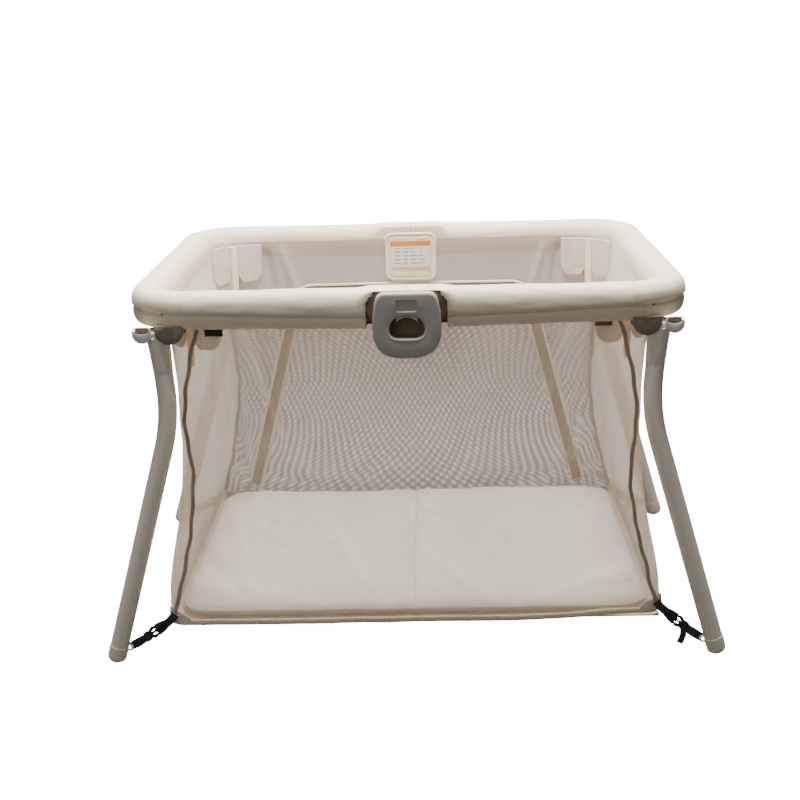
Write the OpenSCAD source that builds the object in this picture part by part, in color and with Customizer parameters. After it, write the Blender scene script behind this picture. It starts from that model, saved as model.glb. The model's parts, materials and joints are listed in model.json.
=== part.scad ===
// Portable travel playpen: a padded folding top rail on four bent legs,
// with a mesh bag that folds with the rail, a mattress and a zip door behind.
// X runs along the long side, +Y points to the back, +Z is up, and the
// origin is on the floor under the middle of the bag.

/* [Top rail] */
// Outside length of the padded rail
rail_length = 1020; // [850:10:1224]
// Outside width of the padded rail
rail_width = 780; // [650:10:936]
// Height of the middle of the rail above the floor
rail_height = 688; // [573:1:825]
// Width of the padded sleeve
pad_width = 58; // [54:1:64]
// Depth of the padded sleeve
pad_depth = 66; // [62:1:74]
// Outside corner radius of the rail, seen from above
corner_radius = 128; // [112:1:154]
// Outside diameter of the steel rail tube
rail_tube_d = 25; // [22:0.5:28]
// Wall of the steel tubes
tube_wall = 1.5; // [1:0.1:2.5]

/* [Centre hubs] */
// Distance between the two fold pivots of one hub
fold_pivot_spacing = 80; // [76:1:96]
// End radius of the hub housing
hub_end_radius = 31; // [28:0.5:32]
// Depth of the hub housing from front to back
hub_depth = 54; // [48:1:58]
// Thickness of the rail end tongue that turns in the hub
tongue_thickness = 20; // [16:1:24]
// Radius of the fold pins
fold_pin_radius = 6; // [5:0.5:8]
// Largest width of the handle plate
plate_width = 122; // [102:1:146]
// Height of the handle plate
plate_height = 119; // [100:1:140]
// Thickness of the handle plate
plate_thickness = 14; // [12:0.5:17]
// Width of the finger hole
finger_hole_width = 62; // [56:1:70]
// Height of the finger hole
finger_hole_height = 40; // [36:1:44]
// Width of the squeeze trigger
trigger_width = 38; // [34:1:42]
// Travel of the squeeze trigger
trigger_travel = 6; // [4:0.5:7]

/* [Legs] */
// Outside diameter of a leg tube
leg_tube_d = 35; // [30:0.5:38]
// Distance of the leg pivots from the end of the rail
leg_pivot_inset = 86; // [80:1:100]
// Distance of the middle of the legs from the side of the rail
leg_side_inset = 28; // [24:1:31]
// How far the leg tube stands outboard of its pivot
leg_offset = 25; // [23:0.5:28]
// Inward lean of the upper leg, in degrees
upper_lean = 3.9; // [2:0.1:5]
// Outward lean of the lower leg, in degrees
lower_lean = 16.2; // [12:0.1:20]
// Height of the knee above the floor
knee_height = 485; // [400:5:560]
// Bend radius of the knee
knee_radius = 200; // [150:10:300]
// Radius of the round hinge housing
hinge_radius = 26; // [24:0.5:29]
// Radius of the leg pivot pins
leg_pin_radius = 5; // [4:0.5:6]
// Radius of the rounded foot cap
foot_radius = 19; // [18:0.5:22]

/* [Bag] */
// Height of the underside of the bag floor
floor_height = 57; // [45:1:75]
// Thickness of the padded bag floor
floor_thickness = 6; // [4:0.5:10]
// Thickness of the mattress
mattress_thickness = 32; // [20:1:45]
// Length of the bag at the floor
bag_length = 952; // [793:1:1142]
// Thickness of the wall solids
wall_thickness = 2.5; // [2:0.1:4]
// Length of the mattress
mattress_length = 912; // [760:1:920]
// Width of the mattress
mattress_width = 642; // [535:1:646]
// Corner radius of the mattress
mattress_corner = 58; // [48:1:70]
// Height of the top of the zip door
door_top = 586; // [484:1:600]
// Width of the zip door at its foot
door_foot_width = 792; // [660:1:830]
// Width of the webbing straps
strap_width = 22; // [18:1:26]

/* [Hidden] */
$fn = 64;

// Colours
cream = "#d9cfc0";
mesh_beige = "#b9ab9a";
tube_taupe = "#8b8376";
hub_brown = "#4b4335";
plate_grey = "#86827a";
light_grey = "#b4b0a6";
webbing_black = "#1b1b1d";
zinc = "silver";

// Clearances
run_gap = 0.05;      // radial gap of a pin in its bore
side_gap = 0.5;      // gap beside a turning tongue
skin_gap = 1;        // gap between fabric and its neighbours
swing_gap = 3;       // gap round parts that swing past each other
bend_swell = 0.05;   // extra radius of the tube in its pressed bend
middle_gap = 0.25;   // gap of each bag half to the middle line

// Rail path: a rounded rectangle through the middle of the sleeve
half_l = rail_length / 2;
half_w = rail_width / 2;
path_radius = corner_radius - pad_width / 2;
arc_x = half_l - corner_radius;
arc_y = half_w - corner_radius;
side_y = half_w - pad_width / 2;
end_x = half_l - pad_width / 2;
rail_bottom = rail_height - pad_depth / 2;
rail_top = rail_height + pad_depth / 2;
inner_y = half_w - pad_width;
inner_x = half_l - pad_width;
rail_tube_r = rail_tube_d / 2;

// Hubs
pivot_x = fold_pivot_spacing / 2;
hub_end_x = pivot_x + hub_end_radius;
sleeve_start = hub_end_x + swing_gap;
hub_face = side_y + hub_depth / 2;
hub_back = side_y - hub_depth / 2;
slot_half = tongue_thickness / 2 + side_gap;
cheek = hub_depth / 2 - slot_half;
web_half = 8;
tongue_radius = pivot_x - web_half - swing_gap;
tongue_bar = 40;
socket_length = 46;
socket_wall = 3.5;
tube_start = sleeve_start + 14;
socket_start = tube_start - 6;
plate_top = rail_top - 2;
plate_bottom = plate_top - plate_height;
finger_z = plate_top - 62.5;
finger_corner = 15;
recess_depth = 14;
trigger_depth = 10.5;
trigger_arch = 26;
trigger_top = finger_z + finger_hole_height / 2 + 12;
spring_room = trigger_travel + 8;
screw_x = 40;
screw_z = plate_bottom + 16;
screw_r = 1.9;
screw_head_r = 3.8;

// Legs
leg_r = leg_tube_d / 2;
leg_px = half_l - leg_pivot_inset;
leg_pz = rail_bottom + 1;
leg_y = half_w - leg_side_inset;
hinge_depth = 44;
leg_tongue = 14;
cup_gap = 0.6;
leg_top_x = leg_px + leg_offset;
knee_x = leg_top_x - (leg_pz - knee_height) * tan(upper_lean);
knee_reach = knee_radius * tan((upper_lean + lower_lean) / 2);
foot_cut = 3;
foot_z = foot_radius - foot_cut;
foot_x = knee_x + (knee_height - foot_z) * tan(lower_lean);
collar_length = 78;
collar_top_r = leg_r + 4;
collar_foot_r = leg_r + 0.8;
collar_top_z = leg_pz - 5;
tube_top_z = leg_pz - 30;
lever_pin_x = leg_px + 29.6;
lever_pin_z = leg_pz - 16;
lever_pin_r = 2.5;
lever_r = 17.5;
lever_x = lever_pin_x + 18.4;
lever_z = lever_pin_z + 11;
lever_arm = 2.2;
lever_half = collar_top_r + 1.2;
saddle_r = rail_tube_r + 7;
saddle_half = 22;
neck_half = 14;
neck_front = leg_y + 10;
neck_back = leg_y - 20;
cheek_top = leg_pz + leg_pin_radius + 3;
leg_tongue_r = rail_height - rail_tube_r - leg_pz - swing_gap;
cap_length = 34;

// Bag
wall_y = inner_y - skin_gap;
wall_top = rail_height + 3;
wall_foot = floor_height + floor_thickness + 1;
bag_half = bag_length / 2;
front_top_x = arc_x - 10;
corner_y = arc_y + 13;
end_top_x = inner_x - skin_gap - 1;
hem_top = floor_height + 25;
hem_thickness = 2;
door_foot = floor_height + floor_thickness + mattress_thickness + 9;
door_top_width = door_foot_width - 256;
door_corner = 58;
zip_gap = 1.5;
zip_width = 7.5;
slider_size = [8, 3.6, 14];
door_lean = atan((door_foot_width - door_top_width) / 2 * 0.88
                 / (door_top - door_corner - door_foot));
slider_x = door_foot_width / 2 + zip_gap + zip_width / 2 + 1.5;
slider_z = door_foot + 14;
patch_size = [116, 4, 108];
patch_corner = 14;
lug_x = foot_x - foot_radius - 9;
lug_z = foot_z + 13;
buckle_x = bag_half + 24;
buckle_z = floor_height + 4;
buckle_size = [26, 8, 24];
strap_thickness = 1.6;
strap_y = wall_y + hem_thickness + 5.5;
bag_strap_x = bag_half - 8;
bag_strap_z = floor_height + 20;

// ---------- helpers ----------

// Places a child made for the front left corner at any corner
module at_corner(right, rear) {
    mirror([right, 0, 0]) mirror([0, rear, 0]) children();
}

// Extrudes a flat shape drawn in X and Z, from y_from towards +Y
module plate_xz(y_from, thickness) {
    translate([0, y_from + thickness, 0]) rotate([90, 0, 0])
        linear_extrude(thickness) children();
}

// A cylinder along Y, from y_from towards +Y
module rod_y(x, z, r, y_from, length) {
    translate([x, y_from, z]) rotate([-90, 0, 0]) cylinder(r = r, h = length);
}

// A flat rounded rectangle
module rounded(size, r) {
    square([size[0] - 2 * r, size[1]], center = true);
    square([size[0], size[1] - 2 * r], center = true);
    for (x = [-1, 1], y = [-1, 1])
        translate([x * (size[0] / 2 - r), y * (size[1] / 2 - r)]) circle(r);
}

// The padded section: straight sides with round top and bottom
module pad_section() {
    rounded([pad_width, pad_depth], min(pad_width, pad_depth) / 2 - 0.5);
}

// Sweeps a flat section round the left half of the rail
module left_rail(start_x) {
    run = arc_x - start_x;
    for (side = [-1, 1])
        translate([-arc_x, side * side_y, rail_height]) rotate([90, 0, 90])
            linear_extrude(run) children();
    translate([-end_x, 0, rail_height]) rotate([90, 0, 0])
        linear_extrude(2 * arc_y, center = true) children();
    for (front = [0, 1]) mirror([0, front, 0])
        translate([-arc_x, arc_y, rail_height]) rotate([0, 0, 90])
            rotate_extrude(angle = 90) translate([path_radius, 0]) children();
}

// Straight upper stretch of the front left leg, down to the knee bend
module leg_upper(r, from_z, to_z) {
    run = (from_z - to_z) / cos(upper_lean);
    x = -knee_x - (to_z - knee_height) * tan(upper_lean);
    translate([x, -leg_y, to_z]) rotate([0, -upper_lean, 0])
        cylinder(r = r, h = run);
}

// Straight lower stretch of the front left leg, from the bend to the foot
module leg_lower(r, from_z, to_z) {
    run = (from_z - to_z) / cos(lower_lean);
    x = -knee_x - (knee_height - to_z) * tan(lower_lean);
    translate([x, -leg_y, to_z]) rotate([0, lower_lean, 0])
        cylinder(r = r, h = run);
}

// The knee bend between the two straight stretches
module leg_knee(r) {
    centre_x = -knee_x - knee_reach * sin(upper_lean)
        - knee_radius * cos(upper_lean);
    centre_z = knee_height + knee_reach * cos(upper_lean)
        - knee_radius * sin(upper_lean);
    translate([centre_x, -leg_y, centre_z]) rotate([90, 0, 0])
        rotate([0, 0, -lower_lean])
            rotate_extrude(angle = upper_lean + lower_lean)
                translate([knee_radius, 0]) circle(r);
}

// The whole bent rod; the pressed bend is a touch fatter than the tube
module leg_rod(r, from_z, to_z) {
    lap = 1;
    bend_top = knee_height + knee_reach * cos(upper_lean);
    bend_foot = knee_height - knee_reach * cos(lower_lean);
    leg_upper(r, from_z, bend_top - lap);
    leg_knee(r + bend_swell);
    leg_lower(r, bend_foot + lap, to_z);
}

// A flat strap between two points, standing on edge
module strap(a, b, width, thickness) {
    hull() for (p = [a, b])
        translate(p) cube([1, thickness, width], center = true);
}

// Points of a round wire coil along Z, with a ring every twelfth of a turn
function coil_ring(i, coil_r, wire_r, pitch, sides) = [
    for (k = [0 : sides - 1])
        let (turn = i * 30, a = 360 * k / sides,
             r = coil_r + wire_r * cos(a))
            [r * cos(turn), r * sin(turn), pitch * i / 12 + wire_r * sin(a)]
];

// A compression spring with its foot at z = 0
module coil(coil_r, wire_r, height, turns) {
    sides = 8;
    steps = turns * 12;
    pitch = (height - 2 * wire_r) / turns;
    points = [for (i = [0 : steps]) each
        coil_ring(i, coil_r, wire_r, pitch, sides)];
    skin = [for (i = [0 : steps - 1], k = [0 : sides - 1])
        let (n = (k + 1) % sides)
            [i * sides + k, (i + 1) * sides + k,
             (i + 1) * sides + n, i * sides + n]];
    first = [for (k = [0 : sides - 1]) k];
    last = [for (k = [sides - 1 : -1 : 0]) steps * sides + k];
    translate([0, 0, wire_r])
        polyhedron(points = points, faces = concat(skin, [first], [last]));
}

// ---------- centre hubs ----------

// Outline of the hub housing, seen from the front
module hub_outline() {
    square([2 * pivot_x, 2 * hub_end_radius], center = true);
    for (x = [-1, 1]) translate([x * pivot_x, 0]) circle(hub_end_radius);
}

// Outline of the handle plate: wide at mid height, narrow at both ends
module plate_outline(inset = 0) {
    top_r = 16;
    foot_r = 34;
    mid_z = plate_bottom + plate_height * 0.48;
    hull() {
        for (x = [-1, 1]) {
            translate([x * (plate_width * 0.45 - top_r), plate_top - top_r])
                circle(top_r - inset, $fn = 32);
            translate([x * (plate_width / 2 - top_r), mid_z])
                circle(top_r - inset, $fn = 32);
            translate([x * (plate_width * 0.42 - foot_r),
                       plate_bottom + foot_r])
                circle(foot_r - inset, $fn = 32);
        }
    }
}

// Finger hole: an arched top over rounded lower corners
module finger_outline(extra = 0) {
    w = finger_hole_width + 2 * extra;
    h = finger_hole_height + 2 * extra;
    r = finger_corner + extra;
    translate([0, finger_z]) {
        intersection() {
            rounded([w, h], r);
            translate([0, h / 2 - w * 0.62]) circle(w * 0.62);
        }
        translate([0, -h / 4]) rounded([w, h / 2], h / 4 - 1);
    }
}

module hub() {
    color(hub_brown) difference() {
        union() {
            plate_xz(-hub_face, cheek)
                translate([0, rail_height]) hub_outline();
            plate_xz(-hub_back - cheek, cheek)
                translate([0, rail_height]) hub_outline();
            plate_xz(-hub_face, hub_depth)
                translate([0, rail_height])
                    square([2 * web_half, 2 * hub_end_radius], center = true);
            plate_xz(-hub_face, cheek)
                translate([0, (plate_bottom + rail_height) / 2 + 4])
                    rounded([plate_width - 22,
                             rail_height - plate_bottom - 4], 18);
        }
        for (x = [-1, 1]) {
            rod_y(x * pivot_x, rail_height, fold_pin_radius + run_gap,
                  -hub_face - 1, hub_depth + 2);
            rod_y(x * screw_x, screw_z, screw_r + run_gap,
                  -hub_face - 1, cheek + 2);
        }
        plate_xz(-hub_face - 1, recess_depth + 1) finger_outline(1);
        trigger_pocket();
    }
}

// Room for the trigger and its spring inside the outer cheek
module trigger_pocket() {
    w = trigger_width + 1;
    z = finger_z;
    plate_xz(-hub_face - 1, trigger_depth + 2)
        translate([-w / 2, z]) square([w, trigger_top + spring_room - z]);
}

module handle_plate() {
    color(plate_grey) difference() {
        union() {
            plate_xz(-hub_face - plate_thickness + 4, plate_thickness - 4)
                plate_outline();
            plate_xz(-hub_face - plate_thickness, 5) plate_outline(4);
        }
        plate_xz(-hub_face - plate_thickness - 1, plate_thickness + 2)
            finger_outline();
        plate_xz(-hub_face - plate_thickness - 1, 2.2)
            translate([0, plate_top - 23.5]) rounded([35, 20], 4);
        for (x = [-1, 1])
            rod_y(x * screw_x, screw_z, screw_r + run_gap, -hub_face - 8, 9);
    }
}

// The squeeze bar: a block with an arched lower edge
module trigger() {
    foot = finger_z + finger_hole_height / 2 - 13;
    color(light_grey) difference() {
        plate_xz(-hub_face + side_gap, trigger_depth)
            translate([-trigger_width / 2, foot])
                square([trigger_width, trigger_top - foot]);
        rod_y(0, foot - trigger_arch + 8, trigger_arch,
              -hub_face - 1, trigger_depth + 4);
    }
}

module trigger_spring() {
    gap = 0.4;
    color(zinc)
        translate([0, -hub_face + side_gap + trigger_depth / 2,
                   trigger_top + gap])
            coil(3.2, 0.5, spring_room - 2 * gap, 5);
}

module fold_pins() {
    color(zinc) for (rear = [0, 1], x = [-1, 1]) mirror([0, rear, 0])
        rod_y(x * pivot_x, rail_height, fold_pin_radius,
              -hub_face + 1, hub_depth - 2);
}

module plate_screws() {
    color(zinc) for (rear = [0, 1], x = [-1, 1]) mirror([0, rear, 0]) {
        rod_y(x * screw_x, screw_z, screw_r, -hub_face - 7, cheek + 7);
        rod_y(x * screw_x, screw_z, screw_head_r, -hub_face + cheek, 2.4);
    }
}

// Fabric across the top of each hub, between the two tongues' swing
module sleeve_bridges() {
    cover = 1.6;
    gap = 0.2;
    half = pivot_x - tongue_bar / 2 - 2;
    color(cream) for (rear = [0, 1]) mirror([0, rear, 0])
        translate([-half, -hub_face + 2, rail_height + hub_end_radius + gap])
            cube([2 * half, hub_depth - 4, cover]);
}

// ---------- folding rail halves ----------

module rail_tube() {
    color(zinc) difference() {
        left_rail(tube_start) circle(rail_tube_r);
        left_rail(tube_start - 1) circle(rail_tube_r - tube_wall);
    }
}

// End fittings: a flat tongue on the fold pin and a socket for the tube
module rail_tongues() {
    socket_r = rail_tube_r + socket_wall;
    color(hub_brown) for (rear = [0, 1]) mirror([0, rear, 0])
        difference() {
            union() {
                rod_y(-pivot_x, rail_height, tongue_radius,
                      -side_y - tongue_thickness / 2, tongue_thickness);
                translate([-socket_start - 4, -side_y - tongue_thickness / 2,
                           rail_height - tongue_bar / 2])
                    cube([socket_start + 4 - pivot_x, tongue_thickness,
                          tongue_bar]);
                translate([-socket_start - socket_length, -side_y,
                           rail_height]) rotate([0, 90, 0])
                    cylinder(r = socket_r, h = socket_length);
            }
            rod_y(-pivot_x, rail_height, fold_pin_radius + run_gap,
                  -side_y - tongue_thickness, 2 * tongue_thickness);
            translate([-socket_start - socket_length - 1, -side_y,
                       rail_height]) rotate([0, 90, 0])
                cylinder(r = rail_tube_r + run_gap,
                         h = socket_start + socket_length + 1 - tube_start);
        }
}

// Outer form of one hinge housing, grown by a gap: a saddle on the tube,
// a neck, and the round cheeks below the sleeve
module housing_form(gap) {
    intersection() {
        left_rail(sleeve_start) circle(saddle_r + gap);
        translate([-leg_px - saddle_half - gap, -half_w, rail_bottom])
            cube([2 * (saddle_half + gap), half_w, pad_depth]);
    }
    translate([-leg_px - neck_half - gap, -neck_front - gap, leg_pz - gap])
        cube([2 * (neck_half + gap), neck_front - neck_back + 2 * gap,
              rail_height - leg_pz + gap]);
    difference() {
        rod_y(-leg_px, leg_pz, hinge_radius + gap,
              -leg_y - hinge_depth / 2 - gap, hinge_depth + 2 * gap);
        translate([-leg_px - 2 * hinge_radius, -half_w - hinge_depth,
                   cheek_top + gap])
            cube([4 * hinge_radius, half_w, pad_depth]);
    }
}

module rail_sleeve() {
    socket_r = rail_tube_r + socket_wall + skin_gap;
    color(cream) difference() {
        left_rail(sleeve_start) pad_section();
        left_rail(sleeve_start - 1) circle(rail_tube_r + side_gap);
        for (rear = [0, 1]) mirror([0, rear, 0]) {
            translate([-socket_start - socket_length - 2, -side_y,
                       rail_height]) rotate([0, 90, 0])
                cylinder(r = socket_r, h = socket_length + 40);
            translate([-socket_start - 6, -side_y - slot_half,
                       rail_height - tongue_bar / 2 - skin_gap])
                cube([60, 2 * slot_half, tongue_bar + 2 * skin_gap]);
            housing_form(skin_gap);
        }
    }
}

// One housing, slotted for the leg's tongue and bored for its pin
module hinge_housing() {
    slot = leg_tongue + 2 * side_gap;
    color(hub_brown) difference() {
        housing_form(0);
        left_rail(sleeve_start - 1) circle(rail_tube_r + run_gap);
        rod_y(-leg_px, leg_pz, leg_pin_radius + run_gap,
              -leg_y - hinge_depth / 2 - 1, hinge_depth + 2);
        translate([-leg_px - hinge_radius - 1, -leg_y - slot / 2,
                   leg_pz - hinge_radius - 1])
            cube([2 * hinge_radius + 2, slot, hinge_radius + 1]);
        rod_y(-leg_px, leg_pz, leg_tongue_r + 1, -leg_y - slot / 2, slot);
    }
}

module hinge_housings() {
    for (rear = [0, 1]) mirror([0, rear, 0]) hinge_housing();
}

module leg_pins() {
    color(zinc) for (rear = [0, 1]) mirror([0, rear, 0])
        rod_y(-leg_px, leg_pz, leg_pin_radius, -leg_y - hinge_depth / 2 + 1,
              hinge_depth - 2);
}

// ---------- legs ----------

module leg_tube() {
    color(tube_taupe) difference() {
        leg_rod(leg_r, tube_top_z, foot_z + 12);
        leg_rod(leg_r - tube_wall, tube_top_z + 1, foot_z + 11);
    }
}

// Collar over the top of the tube, cupped round the housing, with its tongue
module leg_collar() {
    collar_foot_z = collar_top_z - collar_length * cos(upper_lean);
    foot_offset = (leg_pz - collar_foot_z) * tan(upper_lean);
    color(tube_taupe) difference() {
        union() {
            difference() {
                translate([-leg_top_x + foot_offset, -leg_y, collar_foot_z])
                    rotate([0, -upper_lean, 0])
                        cylinder(r1 = collar_foot_r, r2 = collar_top_r,
                                 h = collar_length);
                rod_y(-leg_px, leg_pz, hinge_radius + cup_gap,
                      -leg_y - hinge_depth, 2 * hinge_depth);
            }
            difference() {
                union() {
                    rod_y(-leg_px, leg_pz, leg_tongue_r,
                          -leg_y - leg_tongue / 2, leg_tongue);
                    translate([-leg_px, -leg_y, leg_pz]) rotate([0, 35, 0])
                        translate([-13, -leg_tongue / 2, -40])
                            cube([22, leg_tongue, 40]);
                }
                rod_y(-leg_px, leg_pz, leg_pin_radius + run_gap,
                      -leg_y - leg_tongue, 2 * leg_tongue);
            }
        }
        leg_upper(leg_r + run_gap, tube_top_z, collar_foot_z - 10);
        rod_y(-lever_pin_x, lever_pin_z, lever_pin_r + run_gap,
              -leg_y - 40, 80);
        translate([-leg_top_x + 4, -leg_y - collar_top_r - 1, leg_pz - 62])
            rotate([0, -upper_lean, 0]) cube([2, 3.2, 17]);
    }
    color(zinc) rod_y(-lever_pin_x, lever_pin_z, lever_pin_r,
                      -leg_y - lever_half - lever_arm - 0.8,
                      2 * (lever_half + lever_arm + 0.8));
}

// Squeeze lever: a scooped paddle carried by two side arms
module release_lever() {
    module arm_outline() {
        intersection() {
            translate([-lever_x, lever_z]) circle(lever_r);
            translate([-lever_x - lever_r, lever_z - lever_r])
                square([2 * lever_r, lever_r + 1]);
        }
        translate([-lever_pin_x, lever_pin_z]) circle(lever_pin_r + 2.4);
    }
    color(light_grey) difference() {
        union() {
            for (side = [-1, 1])
                plate_xz(-leg_y + side * (lever_half + lever_arm / 2)
                         - lever_arm / 2, lever_arm) arm_outline();
            plate_xz(-leg_y - lever_half - lever_arm / 2,
                     2 * lever_half + lever_arm)
                difference() {
                    translate([-lever_x, lever_z]) circle(lever_r);
                    translate([-lever_x, lever_z]) circle(lever_r - 3.2);
                    translate([-lever_x - lever_r - 1, lever_z + 1])
                        square(2 * lever_r + 2);
                    translate([-lever_x, lever_z - lever_r - 1])
                        square(2 * lever_r + 2);
                }
        }
        rod_y(-lever_pin_x, lever_pin_z, lever_pin_r + run_gap,
              -leg_y - 40, 80);
    }
}

// Half outline of the foot cap: straight above, round below
module cap_profile() {
    square([foot_radius, cap_length]);
    intersection() {
        circle(foot_radius);
        translate([0, -foot_radius]) square(foot_radius);
    }
}

// Rounded foot cap, flat where it stands, with a bar for the strap
module foot_cap() {
    color(tube_taupe) difference() {
        union() {
            translate([-foot_x, -leg_y, foot_z]) rotate([0, lower_lean, 0])
                rotate_extrude() cap_profile();
            translate([-foot_x + foot_radius - 5, -leg_y - 7, foot_z + 4])
                cube([12, 14, strap_width - 6]);
        }
        translate([-foot_x - 60, -leg_y - 60, -60]) cube([120, 120, 60]);
        translate([-foot_x + foot_radius + 1, -leg_y - 8, foot_z + 7])
            cube([3, 16, strap_width - 12]);
        leg_lower(leg_r + run_gap, foot_z + 90, foot_z + 12);
    }
}

// Webbing from the foot, with the plug half of its side-release buckle
module foot_strap() {
    end_x = buckle_x + buckle_size[0] / 2 + 10;
    color(webbing_black) {
        strap([-lug_x + 4.5, -leg_y + 12, lug_z],
              [-end_x + 1, -strap_y, buckle_z + 4], strap_width - 8,
              strap_thickness);
        translate([-end_x + 5.2, -strap_y, buckle_z + 4])
            cube([9, 6, strap_width - 2], center = true);
        for (z = [-1, 0, 1])
            translate([-end_x + 13, -strap_y, buckle_z + 4 + z * 6])
                cube([7.4, 3, 3], center = true);
    }
}

// ---------- bag, in left halves that meet on the middle line ----------

// Keeps the part of a flat X, Z outline that is left of the middle line
module left_side() {
    intersection() {
        children();
        translate([-half_l, 0])
            square([half_l - middle_gap, rail_top + pad_depth]);
    }
}

// Long wall outline: narrow under the rail, wide at the floor
module wall_outline() {
    mid_x = front_top_x + (bag_half - front_top_x) * 0.45;
    low_x = front_top_x + (bag_half - front_top_x) * 0.62;
    foot_end = bag_half - 6;
    polygon([
        [-front_top_x, wall_top], [front_top_x, wall_top],
        [mid_x, wall_top * 0.65], [low_x, wall_top * 0.42],
        [foot_end, wall_foot], [-foot_end, wall_foot],
        [-low_x, wall_top * 0.42], [-mid_x, wall_top * 0.65]
    ]);
}

// Zip door outline, grown by a margin all round
module door_outline(grow = 0) {
    half_top = door_top_width / 2 + grow;
    half_foot = door_foot_width / 2 + grow;
    r = door_corner;
    shoulder = half_top + (half_foot - half_top) * 0.12;
    polygon(concat(
        [[-half_foot, door_foot - grow], [half_foot, door_foot - grow]],
        [for (a = [0 : 15 : 90])
            [shoulder - r + r * cos(a), door_top + grow - r + r * sin(a)]],
        [for (a = [90 : 15 : 180])
            [-shoulder + r + r * cos(a), door_top + grow - r + r * sin(a)]]
    ));
}

module wall_front() {
    color(mesh_beige) plate_xz(-wall_y, wall_thickness)
        left_side() wall_outline();
}

// Rear wall: the door is part of it, slit along the zip and sewn at its foot
module wall_rear() {
    color(mesh_beige) plate_xz(wall_y - wall_thickness, wall_thickness)
        left_side() difference() {
            wall_outline();
            difference() {
                door_outline(zip_gap);
                door_outline();
                translate([-bag_half, 0]) square([bag_length, door_foot + 1]);
            }
        }
}

// End wall: a flat middle and two panels that turn to the long walls
module wall_end() {
    t = wall_thickness;
    h = 1;
    foot_y = wall_y - 6;
    foot_end = bag_half - t;
    module post(x, y, z) translate([x, y, z]) cube([t, t, h], center = true);
    color(mesh_beige) {
        hull() for (side = [-1, 1]) {
            post(-end_top_x + t / 2, side * corner_y, wall_top - h / 2);
            post(-foot_end, side * foot_y, wall_foot + h / 2);
        }
        for (side = [-1, 1]) hull() {
            post(-end_top_x + t / 2, side * corner_y, wall_top - h / 2);
            post(-front_top_x - t, side * (wall_y - t * 1.8),
                 wall_top - h / 2);
            post(-foot_end, side * foot_y, wall_foot + h / 2);
        }
    }
}

module bag_floor() {
    color(cream) translate([-bag_half + 3, -wall_y + 4, floor_height])
        cube([bag_half - 3 - middle_gap, 2 * (wall_y - 4), floor_thickness]);
}

module mattress() {
    color(cream)
        translate([0, 0, floor_height + floor_thickness + side_gap])
            linear_extrude(mattress_thickness) intersection() {
                rounded([mattress_length, mattress_width], mattress_corner);
                translate([-mattress_length, -mattress_width])
                    square([mattress_length - middle_gap,
                            2 * mattress_width]);
            }
}

// Sewn trim of the left half of the bag
module bag_trim() {
    bottom_hem();
    seam_tapes();
    corner_tabs();
    woven_tag();
    zip_tape();
}

// Folded binding round the foot of the bag
module bottom_hem() {
    out = [bag_length + 2 * hem_thickness, 2 * (wall_y + hem_thickness)];
    color(cream) translate([0, 0, floor_height])
        linear_extrude(hem_top - floor_height) difference() {
            square(out, center = true);
            square([bag_length + 0.6, 2 * wall_y + 0.6], center = true);
            translate([-middle_gap, -half_w]) square([half_l, rail_width]);
        }
}

// Bindings down the edges of the long walls
module seam_tapes() {
    tape_width = 9;
    top = rail_bottom - 3;
    color(tube_taupe) for (rear = [0, 1]) mirror([0, rear, 0])
        plate_xz(-wall_y - 1.4, 1.2) left_side() intersection() {
            difference() {
                wall_outline();
                translate([tape_width, 0]) wall_outline();
            }
            translate([-bag_half, hem_top + 1])
                square([bag_length, top - hem_top - 1]);
        }
}

// Suede-like facings inside the corners
module corner_tabs() {
    t = 1.4;
    drop = 88;
    a = [-end_top_x + 8, corner_y - 4];
    b = [-front_top_x - 4, wall_y - 10];
    pull = max(0, end_top_x - bag_half) * drop / (wall_top - wall_foot);
    color(cream) for (rear = [0, 1]) at_corner(0, rear)
        hull() for (p = [a, b], low = [0, 1])
            translate([p[0] + low * pull, -p[1],
                       wall_top - 2 - low * (drop - 2)])
                cube([t, t, 2], center = true);
}

module woven_tag() {
    tag = [30, 1, 16];
    color(webbing_black)
        translate([-front_top_x + 1, -wall_y - 2.8,
                   rail_bottom - tag[2] - 4]) cube(tag);
}

module zip_tape() {
    color(tube_taupe) plate_xz(wall_y + 0.3, 1.2)
        left_side() difference() {
            door_outline(zip_gap + zip_width);
            door_outline(zip_gap);
            translate([-bag_half, 0])
                square([bag_length, door_foot + 0.1]);
        }
}

// The slider follows the leaning side of the zip
module zip_slider() {
    lean_x = slider_x - (slider_z - door_foot) * tan(door_lean);
    color(zinc) translate([-lean_x, wall_y + 1.8, slider_z])
        rotate([0, door_lean, 0]) difference() {
            translate([-slider_size[0] / 2, 0, 0]) cube(slider_size);
            translate([-1.2, 1.4, 2]) cube([2.4, 5, 9]);
        }
}

module label_patch() {
    top = rail_top - 16;
    color(cream) plate_xz(wall_y - wall_thickness - patch_size[1] - 0.5,
                          patch_size[1])
        translate([0, top - patch_size[2] / 2])
            rounded([patch_size[0], patch_size[2]], patch_corner);
}

// Webbing tabs from the bag's corners to the socket halves
module bag_straps() {
    inner = buckle_x - buckle_size[0] / 2 + 2;
    color(webbing_black) for (rear = [0, 1]) at_corner(0, rear)
        strap([-inner + 2.6, -strap_y, buckle_z + 4],
              [-bag_strap_x, -wall_y - hem_thickness - 1.6, bag_strap_z],
              strap_width - 8, strap_thickness);
}

// Socket halves of the side-release buckles
module buckle_sockets() {
    color(webbing_black) for (rear = [0, 1]) at_corner(0, rear)
        translate([-buckle_x, -strap_y, buckle_z + 4]) difference() {
            cube(buckle_size, center = true);
            translate([-5, 0, 0])
                cube([18, 4, buckle_size[2] - 5], center = true);
            for (z = [-1, 1]) translate([-1, 0, z * buckle_size[2] / 2])
                cube([11, 4, 7], center = true);
        }
}

// ---------- nodes ----------

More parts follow.
